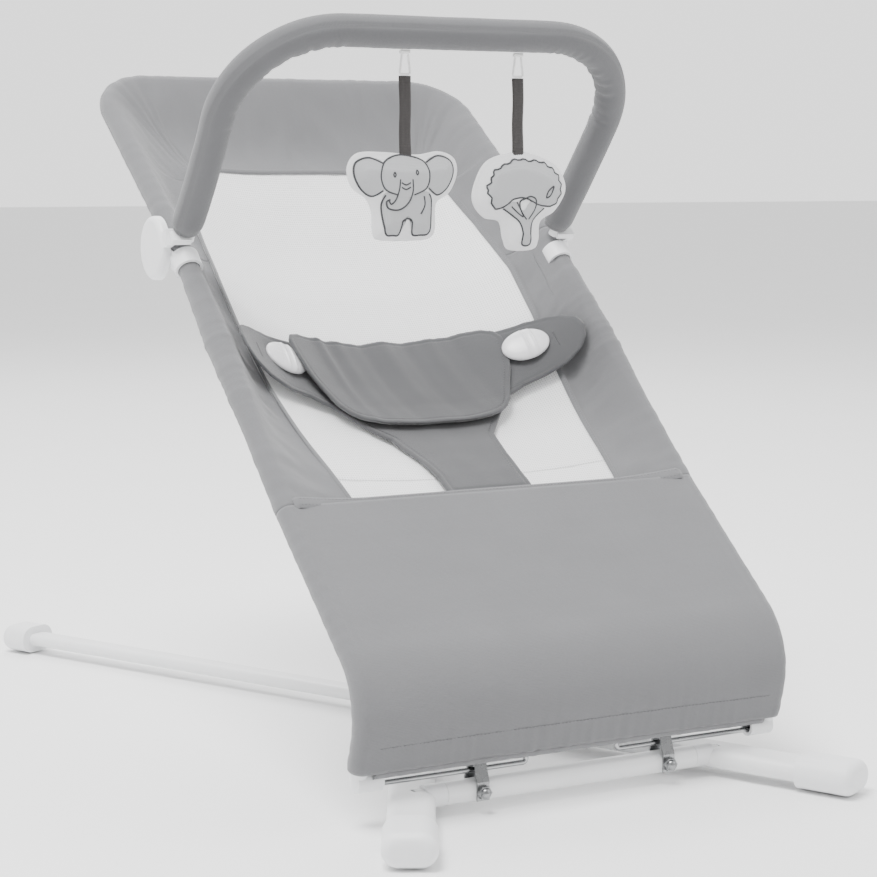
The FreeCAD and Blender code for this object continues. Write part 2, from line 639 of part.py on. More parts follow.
centre = (size("bulge_y"), size("bulge_z"))
low_angle, high_angle = math.pi + LEAN, math.pi - (math.pi / 2 - SHIN)
outer_r, inner_r = BULGE + 6, BULGE + 6 - thick
shin_run = Vector(math.cos(SHIN), math.sin(SHIN), 0)
shin_length = math.hypot(crease[0] - bulge_high[0], crease[1] - bulge_high[1]) - 3
hem_run = Vector(math.sin(LEAN), -math.cos(LEAN), 0)
HEM_LENGTH = 22
outer_low, inner_low = (band_point(centre, r, low_angle) for r in (outer_r, inner_r))
outer_high, inner_high = (band_point(centre, r, high_angle) for r in (outer_r, inner_r))
middle_angle = (low_angle + high_angle) / 2
leg_edges = [
    Part.LineSegment(outer_low + hem_run * HEM_LENGTH, outer_low),
    Part.Arc(outer_low, band_point(centre, outer_r, middle_angle), outer_high),
    Part.LineSegment(outer_high, outer_high + shin_run * shin_length),
    Part.LineSegment(outer_high + shin_run * shin_length, inner_high + shin_run * shin_length),
    Part.LineSegment(inner_high + shin_run * shin_length, inner_high),
    Part.Arc(inner_high, band_point(centre, inner_r, middle_angle), inner_low),
    Part.LineSegment(inner_low, inner_low + hem_run * HEM_LENGTH),
    Part.LineSegment(inner_low + hem_run * HEM_LENGTH, outer_low + hem_run * HEM_LENGTH),
]
leg_sketch = sketch_on(body, "YZ_Plane", "leg_panel_band", leg_edges)
pad(body, leg_sketch, str(2 * PANEL_EDGE), midplane=True)
body.Placement = Placement(at(0, 0, 0), Rotation())
keep(body, "leg_panel")

# ---------------------------------------------------------------- harness
LIFT = size("pad_lift")
BUTTON_GAP = 4.2
FLAP_HALF, WING_END, WING_LOW, WING_HIGH = 100, 170, 158, 214
sling_panel("harness_crotch", [-34, 0, 34], [(12, 3), (50, 0.23 * SAG), (102, 0.62 * SAG)], LIFT, 6)
sling_panel("harness_flap", [-FLAP_HALF, -50, 0, 50, FLAP_HALF],
            [(103, 0.62 * SAG), (174, SAG), (204, SAG)], LIFT, size("flap_thick"))
for side_name, side in SIDES:
    across = sorted([side * (FLAP_HALF + PANEL_GAP), side * 136, side * WING_END])
    sling_panel(f"harness_wing_{side_name}", across, [(WING_LOW, 0.93 * SAG), (WING_HIGH, SAG)],
                LIFT, size("wing_thick"))
    button = new_body(f"harness_button_{side_name}_body")
    face = [Part.Ellipse(Vector(0, 0, 0), 23, 17)]
    oval = sketch_on(button, "XY_Plane", f"harness_button_{side_name}_oval", face)
    pad(button, oval, "button_thick")
    soften(button, "3", all_at("z", size("button_thick")))
    # The button lies on the wing, tilted as the sling is there.
    x = size("button_x")
    slope = SAG * HANG * (x / PANEL_EDGE) ** (HANG - 1) / PANEL_EDGE
    out = sag_at(x, SAG) + LIFT + size("wing_thick") + BUTTON_GAP
    turn = Rotation(Vector(1, 0, 0), size("back_angle")).multiply(
        Rotation(Vector(0, 1, 0), -side * math.degrees(math.atan(slope))))
    button.Placement = Placement(on_back(side * x, size("button_along"), out), turn)
    keep(button, f"harness_button_{side_name}")

# ---------------------------------------------------------------- toy bar
BAR = math.radians(size("bar_angle"))
bar_up = Vector(0, -math.cos(BAR), math.sin(BAR))
BAR_TURN = Rotation(Vector(1, 0, 0), 90 - size("bar_angle"))
bar_half, bar_foot = size("bar_half"), size("bar_foot")
SLEEVE_START, BAR_REACH = size("sleeve_start"), size("bar_reach")


def on_bar(x, reach):
    """A place in the toy bar's plane: reach is measured from the hub."""
    return at(x, *hub) + bar_up * reach


def bar_path(start):
    points = [on_bar(-bar_foot, start), on_bar(-bar_half, BAR_REACH),
              on_bar(bar_half, BAR_REACH), on_bar(bar_foot, start)]
    return path_edges(points, [size("bar_corner")] * 2)


keep(bent_tube("bar_sleeve", bar_path(SLEEVE_START), "sleeve_radius", "core_radius + 0.5"),
     "bar_sleeve")
keep(sweep("bar_core", wire_spine("bar_core_spine", bar_path(SLEEVE_START - 7)), "core_radius"),
     "bar_core")

pivot = (size("pivot_y"), size("pivot_z"))
HUB_FACE, HUB_THICK = size("hub_face"), size("hub_thick")
DISC_IN = HUB_FACE - HUB_THICK
WEB_IN, WEB_OUT = 201.6, DISC_IN - 0.4
PIN = 5
PIN_END = HUB_FACE - 4
CLIP_BORE, CLIP_WALL, CLIP_LONG, CLIP_BELOW = 10.3, 2.6, 17, 7


def slab(name, side, near, far, start, end, wide):
    """A bar with square ends in the YZ plane from start to end, between two distances from X=0."""
    run = Vector(0, end[0] - start[0], end[1] - start[1])
    obj = box(name, str(far - near), str(run.Length), str(wide), Vector())
    turn = Rotation(Vector(1, 0, 0), math.degrees(math.atan2(run.z, run.y)))
    corner = at(near if side > 0 else -far, *start) - turn.multVec(Vector(0, 0, wide / 2))
    obj.Placement = Placement(corner, turn)
    return obj


def across(name, radius, side, near, far, place):
    """A cylinder along X between two distances from X=0."""
    return cylinder(name, radius, str(far - near), at(near if side > 0 else -far, *place), ALONG_X)


for side_name, side in SIDES:
    label = f"bar_hub_{side_name}"
    disc = new_body(label + "_disc")
    radius = size("hub_radius")
    edge = 5
    profile = [
        Part.LineSegment(Vector(0, DISC_IN, 0), Vector(radius, DISC_IN, 0)),
        Part.LineSegment(Vector(radius, DISC_IN, 0), Vector(radius, HUB_FACE - edge, 0)),
        Part.Arc(Vector(radius, HUB_FACE - edge, 0),
                 Vector(radius - edge * (1 - math.sqrt(0.5)), HUB_FACE - edge * (1 - math.sqrt(0.5)), 0),
                 Vector(radius - edge, HUB_FACE, 0)),
        Part.LineSegment(Vector(radius - edge, HUB_FACE, 0), Vector(0, HUB_FACE, 0)),
        Part.LineSegment(Vector(0, HUB_FACE, 0), Vector(0, DISC_IN, 0)),
    ]
    sketch = sketch_on(disc, "XY_Plane", label + "_profile", profile)
    turned = disc.newObject("PartDesign::Revolution", label + "_turned")
    turned.Profile = sketch
    turned.ReferenceAxis = (sketch, ["V_Axis"])
    turned.Angle = 360
    disc.Placement = Placement(at(0, *pivot), Rotation(Vector(0, 0, 1), -90 * side))
    # An arm and a block carry the bar's core from the disc.
    block_place = on_bar(side * (bar_foot + 4) - (4 if side > 0 else 14), SLEEVE_START - 6.5)
    block = box(label + "_block", "18", "16", "5.6", Vector())
    block.Placement = Placement(block_place, BAR_TURN).multiply(
        Placement(Vector(0, -8, 0), Rotation()))
    arm_end = (hub[0] + bar_up.y * (SLEEVE_START - 4), hub[1] + bar_up.z * (SLEEVE_START - 4))
    arm = slab(label + "_arm", side, DISC_IN, DISC_IN + 7, pivot, arm_end, 14)
    shell = fuse(label + "_shell", disc, arm, block)
    core_way = cylinder(label + "_core_way", "core_radius + 0.3", "30",
                        on_bar(side * bar_foot, SLEEVE_START - 7), Rotation(Vector(0, 0, 1), bar_up))
    pin_way = across(label + "_pin_way", f"{PIN} + running_gap", side, DISC_IN - 1, PIN_END + 0.3,
                     pivot)
    keep(cut(label, cut(label + "_cored", shell, core_way), pin_way), label)

    clip_label = f"bar_clip_{side_name}"
    back_run = Vector(0, math.cos(BACK), math.sin(BACK))
    clip_turn = Rotation(Vector(0, 0, 1), back_run)
    start = at(side * half, *hub) - back_run * (CLIP_LONG + CLIP_BELOW)
    band = cylinder(clip_label + "_band", f"{CLIP_BORE} + {CLIP_WALL}", str(CLIP_LONG), start,
                    clip_turn)
    band_way = cylinder(clip_label + "_way", str(CLIP_BORE), "80",
                        start - back_run * 40, clip_turn)
    halfway = CLIP_BELOW + CLIP_LONG / 2
    band_middle = (hub[0] - back_run.y * halfway, hub[1] - back_run.z * halfway)
    web = slab(clip_label + "_web", side, WEB_IN, WEB_OUT, band_middle, pivot, 16)
    boss = across(clip_label + "_boss", "9", side, WEB_IN, WEB_OUT, pivot)
    pin = across(clip_label + "_pin", str(PIN), side, WEB_IN, PIN_END, pivot)
    keep(cut(clip_label, fuse(clip_label + "_solid", band, web, boss, pin), band_way), clip_label)

# ---------------------------------------------------------------- toys
BAR_LOW = size("sleeve_radius")
LOOP_WIRE = 1
BARREL = 1.8
bar_top = on_bar(0, BAR_REACH)
ELEPHANT = [(-21, 36), (-46, 35), (-56, 23), (-51, 7), (-38, -2), (-33, -13), (-32, -30), (-25, -36),
            (4, -37), (23, -35), (29, -28), (31, -6), (44, 3), (51, 18), (48, 31), (33, 37), (11, 34)]
TREE = [(0, 43), (-31, 35), (-44, 17), (-46, 0), (-35, -13), (-20, -17), (-15, -31), (-9, -41),
        (15, -41), (22, -33), (24, -17), (39, -7), (50, 11), (41, 30), (22, 39)]
for side_name, outline_points in (("left", ELEPHANT), ("right", TREE)):
    x = size(f"{side_name}_toy_x")
    drop = size("loop_drop")
    barrel_z = bar_top.z - BAR_LOW - BARREL - 0.3
    barrel = cylinder(f"loop_barrel_{side_name}", str(BARREL), "9",
                      Vector(x - 4.5, bar_top.y, barrel_z), ALONG_X)
    loop_points = [Vector(x + dx, bar_top.y, barrel_z - dz)
                   for dx, dz in ((-2.6, 0), (-5.2, drop), (5.2, drop), (2.6, 0))]
    cord = sweep(f"loop_cord_{side_name}",
                 wire_spine(f"loop_spine_{side_name}", path_edges(loop_points, [2.2] * 2)),
                 str(LOOP_WIRE))
    keep(fuse(f"toy_loop_{side_name}", barrel, cord), f"toy_loop_{side_name}")
    strap_top = barrel_z - drop - LOOP_WIRE - 0.3
    strap = box(f"toy_strap_{side_name}", "strap_wide", "2.4", "strap_long",
                Vector(x - size("strap_wide") / 2, bar_top.y - 1.2, strap_top - size("strap_long")))
    keep(strap, f"toy_strap_{side_name}")
    toy = new_body(f"toy_{side_name}_body")
    edges = smooth_outline([Vector(px, pz, 0) for px, pz in outline_points])
    face = sketch_on(toy, "XZ_Plane", f"toy_{side_name}_outline", edges)
    pad(toy, face, "toy_thick", midplane=True)
    doc.recompute()
    crown = toy.Shape.BoundBox.ZMax
    toy.Placement = Placement(Vector(x, bar_top.y, strap_top - size("strap_long") - crown - 0.3),
                              Rotation())
    keep(toy, f"toy_{side_name}")

doc.recompute()
problems = [o.Label for o in doc.Objects if "Invalid" in o.State or "Error" in o.State]
if problems:
    raise RuntimeError(f"failed features: {problems}")
for obj in SUBPARTS:
    if obj.Shape.isNull() or not obj.Shape.isValid() or not obj.Shape.Solids:
        raise RuntimeError(f"bad shape: {obj.Label}")
    print(obj.Label, len(obj.Shape.Solids), round(obj.Shape.Volume), obj.Shape.BoundBox)
    obj.Shape.exportStep(f"parts/{obj.Label}.step")
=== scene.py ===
import json
import math

import bpy
import numpy as np
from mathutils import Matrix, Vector, noise


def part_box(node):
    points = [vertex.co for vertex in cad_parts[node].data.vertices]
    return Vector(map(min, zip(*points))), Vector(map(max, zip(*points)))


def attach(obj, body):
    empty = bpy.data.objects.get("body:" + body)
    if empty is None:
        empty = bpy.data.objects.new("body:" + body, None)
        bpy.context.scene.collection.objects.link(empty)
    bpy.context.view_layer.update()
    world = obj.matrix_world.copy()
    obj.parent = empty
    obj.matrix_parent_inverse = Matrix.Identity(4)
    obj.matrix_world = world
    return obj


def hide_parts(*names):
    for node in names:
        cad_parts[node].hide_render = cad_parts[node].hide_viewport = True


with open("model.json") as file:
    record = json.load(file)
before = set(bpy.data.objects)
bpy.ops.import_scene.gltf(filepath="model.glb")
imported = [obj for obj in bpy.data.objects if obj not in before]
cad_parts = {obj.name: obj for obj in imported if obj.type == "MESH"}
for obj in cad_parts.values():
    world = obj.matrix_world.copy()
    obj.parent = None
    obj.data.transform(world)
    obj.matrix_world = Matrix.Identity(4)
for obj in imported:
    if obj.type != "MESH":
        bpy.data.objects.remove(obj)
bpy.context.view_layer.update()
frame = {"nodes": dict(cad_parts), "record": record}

MM = 0.001
ORIGIN_Y = -sum(corner[1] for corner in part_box("crossbar")) / 2 / MM

# ------------------------------------------------------------------ camera, light and floor
LENS = 87.8
CAMERA_AT = Vector((-0.888, -1.767, 0.504))
CAMERA_TURN, CAMERA_TILT = math.radians(27.8), math.radians(7.06)

scene = bpy.context.scene
camera = bpy.data.objects.new("camera", bpy.data.cameras.new("camera"))
scene.collection.objects.link(camera)
camera.data.lens = LENS
camera.data.sensor_width = 36
camera.data.clip_end = 60
camera.location = CAMERA_AT
look = Vector((math.sin(CAMERA_TURN) * math.cos(CAMERA_TILT),
               math.cos(CAMERA_TURN) * math.cos(CAMERA_TILT), -math.sin(CAMERA_TILT)))
camera.rotation_euler = look.to_track_quat("-Z", "Y").to_euler()
scene.camera = camera


def area_light(name, place, aim, wide, power):
    lamp = bpy.data.lights.new(name, "AREA")
    lamp.shape = "DISK"
    lamp.size = wide
    lamp.energy = power
    holder = bpy.data.objects.new(name, lamp)
    scene.collection.objects.link(holder)
    holder.location = place
    holder.rotation_euler = (Vector(aim) - Vector(place)).to_track_quat("-Z", "Y").to_euler()


area_light("key", (-1.1, -0.5, 3.4), (0, 0, 0.25), 1.8, 195)
area_light("fill", (2.8, -1.6, 2.2), (0, 0, 0.25), 2.4, 34)
area_light("back", (0.8, 2.6, 2.8), (0, 0, 0.35), 2.2, 60)

world = bpy.data.worlds.new("studio")
scene.world = world
world.use_nodes = True
world.node_tree.nodes["Background"].inputs["Color"].default_value = (1, 1, 1, 1)
# The studio is brighter behind the seat than in front of it.
sky = world.node_tree.nodes
sides = sky.new("ShaderNodeSeparateXYZ")
world.node_tree.links.new(sky.new("ShaderNodeTexCoord").outputs["Generated"], sides.inputs[0])
glow = sky.new("ShaderNodeMapRange")
for socket, number in zip(("From Min", "From Max", "To Min", "To Max"), (-0.6, 0.7, 0.85, 1.8)):
    glow.inputs[socket].default_value = number
world.node_tree.links.new(sides.outputs["Y"], glow.inputs["Value"])
world.node_tree.links.new(glow.outputs["Result"], sky["Background"].inputs["Strength"])


# ------------------------------------------------------------------ materials
class Shader:
    """A node material built step by step round one Principled shader."""

    def __init__(self, name, color, rough, **sockets):
        self.material = bpy.data.materials.new(name)
        self.material.use_nodes = True
        self.nodes = self.material.node_tree.nodes
        self.links = self.material.node_tree.links
        self.skin = self.nodes["Principled BSDF"]
        self.color = color
        self.skin.inputs["Base Color"].default_value = (*color, 1)
        self.skin.inputs["Roughness"].default_value = rough
        for socket, value in sockets.items():
            self.skin.inputs[socket.replace("_", " ")].default_value = value
        self.space = self.nodes.new("ShaderNodeTexCoord")

    def join(self, out, into):
        self.links.new(out, into)

    def noise(self, where, scale, detail=3.0, rough=0.55):
        made = self.nodes.new("ShaderNodeTexNoise")
        made.inputs["Scale"].default_value = scale
        made.inputs["Detail"].default_value = detail
        made.inputs["Roughness"].default_value = rough
        self.join(self.space.outputs[where], made.inputs["Vector"])
        return made.outputs["Fac"]

    def bands(self, where, axis, period, wobble=0.0):
        """Even ridges of a period in metres along one axis."""
        made = self.nodes.new("ShaderNodeTexWave")
        made.bands_direction = axis
        made.inputs["Scale"].default_value = math.pi / 10 / period
        made.inputs["Distortion"].default_value = wobble
        made.inputs["Detail"].default_value = 1
        made.inputs["Detail Scale"].default_value = 0.6
        self.join(self.space.outputs[where], made.inputs["Vector"])
        return made.outputs["Fac"]

    def mix(self, a, b, how="MULTIPLY"):
        made = self.nodes.new("ShaderNodeMath")
        made.operation = how
        for socket, value in zip(made.inputs, (a, b)):
            if isinstance(value, (int, float)):
                socket.default_value = value
            else:
                self.join(value, socket)
        return made.outputs[0]

    def spread(self, value, low, high, to_low, to_high):
        made = self.nodes.new("ShaderNodeMapRange")
        for socket, number in zip(("From Min", "From Max", "To Min", "To Max"),
                                  (low, high, to_low, to_high)):
            made.inputs[socket].default_value = number
        self.join(value, made.inputs["Value"])
        return made.outputs["Result"]

    def vary(self, amount, value):
        """Vary the base colour's brightness by a value from 0 to 1."""
        ramp = self.nodes.new("ShaderNodeValToRGB")
        dark = [c * (1 - amount) for c in self.color]
        light = [min(1, c * (1 + amount)) for c in self.color]
        ramp.color_ramp.elements[0].position = 0.3
        ramp.color_ramp.elements[1].position = 0.7
        ramp.color_ramp.elements[0].color = (*dark, 1)
        ramp.color_ramp.elements[1].color = (*light, 1)
        self.join(value, ramp.inputs["Fac"])
        self.join(ramp.outputs["Color"], self.skin.inputs["Base Color"])

    def roughen(self, value, low, high):
        self.join(self.spread(value, 0.3, 0.7, low, high), self.skin.inputs["Roughness"])

    def bump(self, height, distance, strength=1.0):
        made = self.nodes.new("ShaderNodeBump")
        made.inputs["Distance"].default_value = distance
        made.inputs["Strength"].default_value = strength
        self.join(height, made.inputs["Height"])
        self.join(made.outputs["Normal"], self.skin.inputs["Normal"])


def woven(name, color, period, depth, mottle=0.05, where="UV", rough=0.86, sheen=0.25):
    """Cloth: two crossing sets of threads, a little slub, and soft colour variation."""
    cloth = Shader(name, color, rough, Sheen_Weight=sheen, Sheen_Roughness=0.5)
    warp = cloth.bands(where, "X", period, 0.6)
    weft = cloth.bands(where, "Y", period * 1.07, 0.6)
    threads = cloth.mix(warp, weft, "MAXIMUM")
    slub = cloth.noise(where, 0.35 / period, 2)
    cloth.bump(cloth.mix(threads, cloth.mix(slub, 0.9), "ADD"), depth)
    blotch = cloth.noise(where, 14, 4)
    fine = cloth.noise(where, 420, 2)
    cloth.vary(mottle, cloth.mix(cloth.mix(blotch, 0.6), cloth.mix(fine, 0.4), "ADD"))
    return cloth.material


def moulded(name, color, rough, grain=0.00006, coat=0.0):
    """Moulded plastic or powder coat: fine grain, faint handling marks."""
    skin = Shader(name, color, rough, Coat_Weight=coat, Coat_Roughness=0.25)
    skin.bump(skin.noise("Object", 900, 2), grain)
    skin.vary(0.018, skin.noise("Object", 30, 3))
    skin.roughen(skin.noise("Object", 60, 4), rough - 0.05, rough + 0.08)
    return skin.material


def metal(name, color, rough, period=0.0007, depth=0.000015):
    """Drawn or turned metal: faint lines and uneven polish."""
    skin = Shader(name, color, rough, Metallic=1.0)
    skin.bump(skin.bands("Object", "X", period, 4.0), depth)
    skin.roughen(skin.noise("Object", 120, 4), rough - 0.04, rough + 0.1)
    skin.vary(0.05, skin.noise("Object", 25, 3))
    return skin.material


def knitted():
    """The white back: an open knit of small round holes between thick threads."""
    knit = Shader("mesh_fabric", (0.90, 0.90, 0.905), 0.8, Sheen_Weight=0.2)
    across = knit.bands("UV", "X", 0.0023)
    along = knit.bands("UV", "Y", 0.0027, 0.15)
    holes = knit.mix(across, along)
    knit.bump(knit.mix(1.0, holes, "SUBTRACT"), 0.0005)
    opening = knit.spread(holes, 0.55, 0.8, 1.0, 0.55)
    knit.join(opening, knit.skin.inputs["Alpha"])
    knit.vary(0.012, knit.noise("UV", 18, 3))
    return knit.material


GREY = (0.160, 0.161, 0.167)
FABRIC = woven("grey_fabric", GREY, 0.0011, 0.00016)
HARNESS = woven("harness_fabric", (0.080, 0.081, 0.085), 0.0010, 0.00016, 0.06)
SLEEVE = woven("foam_sleeve", (0.118, 0.119, 0.124), 0.0010, 0.00014, 0.05)
WEBBING = woven("webbing", (0.036, 0.032, 0.031), 0.0013, 0.0003, 0.12)
MESH = knitted()
PLUSH = woven("toy_fabric", (0.80, 0.80, 0.81), 0.0009, 0.00018, 0.02, "Object", 0.9, 0.4)
PRINT = woven("toy_print", (0.44, 0.445, 0.455), 0.0009, 0.00018, 0.03, "Object", 0.9, 0.4)
INK = woven("toy_line", (0.045, 0.046, 0.05), 0.0009, 0.0001, 0.05, "Object", 0.8, 0.1)
THREAD = woven("thread", (0.15, 0.15, 0.156), 0.0008, 0.00005, 0.04, "Object")
DARK_THREAD = woven("harness_thread", (0.06, 0.06, 0.064), 0.0008, 0.00005, 0.04, "Object")
CORD = woven("cord", (0.80, 0.80, 0.79), 0.0009, 0.0001, 0.03, "Object")
STEEL_WHITE = moulded("white_steel", (0.80, 0.805, 0.81), 0.36, coat=0.25)
PLASTIC = moulded("white_plastic", (0.80, 0.805, 0.815), 0.42)
BUTTON = moulded("button_plastic", (0.78, 0.775, 0.79), 0.26, coat=0.4)
RUBBER = moulded("rubber", (0.10, 0.10, 0.105), 0.75)
# The chrome's base colour is set far darker than real chrome's. This is a painted dark reflection, so the
# hairpins look dark under the white studio.
CHROME = metal("chrome", (0.38, 0.385, 0.39), 0.1)
STEEL = metal("steel", (0.30, 0.305, 0.31), 0.24)

by_slot = {"white_steel": STEEL_WHITE, "white_plastic": PLASTIC, "button_plastic": BUTTON,
           "chrome": CHROME, "steel": STEEL, "grey_fabric": FABRIC, "mesh_fabric": MESH,
           "harness_fabric": HARNESS, "foam_sleeve": SLEEVE, "webbing": WEBBING,
           "toy_fabric": PLUSH, "cord": CORD, "rubber": RUBBER}
for row in frame["record"]["subparts"]:
    part = frame["nodes"][row["node"]]
    material = by_slot[row["material_slot"]]
    if part.material_slots:
        for held in part.material_slots:
            held.material = material
    else:
        part.data.materials.append(material)

# Moulded and bent pieces get small broken edges that catch the light.
for label, part in frame["nodes"].items():
    if label.startswith(("bar_hub", "bar_clip", "pivot_bush", "wire_clamp", "spring_socket",
                         "front_arm", "rear_arm", "clamp_", "cross")):
        bevel = part.modifiers.new("edges", "BEVEL")
        bevel.width = 0.0006
        bevel.segments = 2
        bevel.limit_method = "ANGLE"
        bevel.angle_limit = math.radians(40)

floor_skin = Shader("floor", (0.93, 0.93, 0.93), 0.65)
floor_skin.bump(floor_skin.noise("Object", 30, 3), 0.0003, 0.4)
floor_skin.vary(0.006, floor_skin.noise("Object", 3, 3))
floor_mesh = bpy.data.meshes.new("floor")
floor_mesh.from_pydata([(-30, -30, -0.0002), (30, -30, -0.0002), (30, 30, -0.0002),
                        (-30, 30, -0.0002)], [], [(0, 1, 2, 3)])
floor_mesh.materials.append(floor_skin.material)
floor = bpy.data.objects.new("floor", floor_mesh)
scene.collection.objects.link(floor)


# ------------------------------------------------------------------ making pieces
def at(x, y, z):
    """A place in millimetres from the crossbar, in the frame, in metres."""
    return (x * MM, (y - ORIGIN_Y) * MM, z * MM)


def piece(name, points, faces, material, body, uv=None, smooth=True):
    """A mesh piece from points in metres, riding on a body."""
    data = bpy.data.meshes.new(name)
    data.from_pydata([tuple(p) for p in points], [], faces)
    data.materials.append(material)
    if uv is not None:
        layer = data.uv_layers.new(name="UVMap")
        spots = [value for loop in data.loops for value in uv[loop.vertex_index]]
        layer.data.foreach_set("uv", spots)
    data.polygons.foreach_set("use_smooth", [smooth] * len(data.polygons))
    data.update()
    made = bpy.data.objects.new(name, data)
    scene.collection.objects.link(made)
    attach(made, body)
    return made


def grid_faces(rows, columns, loop=False):
    """Quads over a grid, closed round its columns where loop is set."""
    faces = []
    for i in range(rows - 1):
        for j in range(columns if loop else columns - 1):
            k = (j + 1) % columns
            faces.append((i * columns + j, i * columns + k, (i + 1) * columns + k,
                          (i + 1) * columns + j))
    return faces


def cloth_thickness(made, thick):
    solid = made.modifiers.new("thickness", "SOLIDIFY")
    solid.thickness = thick * MM
    solid.offset = -1
    return made


def pinch(x, y, seed=0.0):
    """Smooth noise from -1 to 1."""
    return noise.noise(Vector((x, y, seed)))


# ------------------------------------------------------------------ the sling's shape
HALF = 193
CREASE = (130, 229)
BACK, HEAD, LEAN = math.radians(41.7), math.radians(35), math.radians(16)
BACK_LONG, HEAD_LONG, HEAD_CORNER = 309, 272, 50
HUB = (CREASE[0] + BACK_LONG * math.cos(BACK), CREASE[1] + BACK_LONG * math.sin(BACK))
BULGE, BULGE_AT = 60, (47.5, 87.4)
WRAP = 9.7
HANG = 2.6
EDGE = 184.5
DEPTH_AT = [0, 6, 50, 102, 174, 240, 300, 371, 420, 480, 572]
DEPTH = [1, 1.5, 15, 39, 61, 65, 65, 62, 50, 32, 1]
dense = np.arange(-20, 600, 1.0)
kernel = np.exp(-0.5 * (np.arange(-45, 46) / 15.0) ** 2)
kernel /= kernel.sum()
smooth_depth = np.convolve(np.pad(np.interp(dense, DEPTH_AT, DEPTH), 45, "edge"), kernel, "valid")


def on_back(x, along, out):
    """A place by its distance along the back from the crease and out from the frame's plane."""
    bend = 1 / (1 + math.exp(-(along - BACK_LONG) / 12))
    turn = BACK + (HEAD - BACK) * bend
    if along <= BACK_LONG:
        y = CREASE[0] + along * math.cos(BACK)
        z = CREASE[1] + along * math.sin(BACK)
    else:
        y = HUB[0] + (along - BACK_LONG) * math.cos(HEAD)
        z = HUB[1] + (along - BACK_LONG) * math.sin(HEAD)
    return at(x, y - out * math.sin(turn), z + out * math.cos(turn))


def hang(x, along):
    """How far the sling lies out from the frame's plane, negative where it sags."""
    depth = float(np.interp(along, dense, smooth_depth))
    return -depth * (1 - min(1, abs(x) / EDGE) ** HANG)


MESH_EDGE_AT = [0, 13, 52, 95, 162, 240, 302, 350, 384, 430, 452, 466, 474]
MESH_EDGE = [131, 131.5, 136, 141, 148.5, 154, 155, 152, 149, 141, 135, 127, 112]


def mesh_half(along):
    return float(np.interp(along, MESH_EDGE_AT, MESH_EDGE))


# The centre back: an open knit from the crease to the headrest.
ROWS, COLUMNS = 130, 72
MESH_START, MESH_RUN = 3, 471
MESH_UNDER = 2.5
points, spots = [], []
for i in range(ROWS):
    base = MESH_START + MESH_RUN * i / (ROWS - 1)
    for j in range(COLUMNS):
        u = -1 + 2 * j / (COLUMNS - 1)
        along = base + 5 * (1 - u * u) * (i / (ROWS - 1)) ** 6
        x = u * (mesh_half(base) + MESH_UNDER)
        ripple = 0.5 * pinch(x / 26, along / 40, 3) + 0.35 * pinch(x / 9, along / 60, 8)
        points.append(on_back(x, along, hang(x, along) - 1.6 + ripple))
        spots.append((x * MM, along * MM))
back_mesh = piece("mesh_back", points, grid_faces(ROWS, COLUMNS), MESH, "seat", spots)
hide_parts("mesh_panel", "mesh_panel_upper")

# Keys along the border, by the run along the U-shaped tube from the crease: the mesh's edge there.
# The grey border: up one side, round the headrest and down the other side, wrapped over the tube.
U_KEYS = [0, 440, 531, 609.5, 752.5]
IN_X = [131.5, 139, 128, 112, 0]
IN_ALONG = [3, 440, 464, 473, 478]
U_CORNER, U_TOP, U_HALF = U_KEYS[2:]
INNER_STEPS, WRAP_TURNS = 18, 18
WRAP_ANGLE = math.radians(200)
UNDER_FLAPS = (1, 2, 3)


def tube_at(u):
    """On the U-shaped frame tube: (x, along) and the way in, for one side, u from the crease."""
    if u <= U_CORNER:
        return (HALF, u), (-1.0, 0.0)
    if u <= U_TOP:
        turn = (u - U_CORNER) / HEAD_CORNER
        x = HALF - HEAD_CORNER + HEAD_CORNER * math.cos(turn)
        return (x, U_CORNER + HEAD_CORNER * math.sin(turn)), (-math.cos(turn), -math.sin(turn))
    return (HALF - HEAD_CORNER - (u - U_TOP), U_CORNER + HEAD_CORNER), (0.0, -1.0)


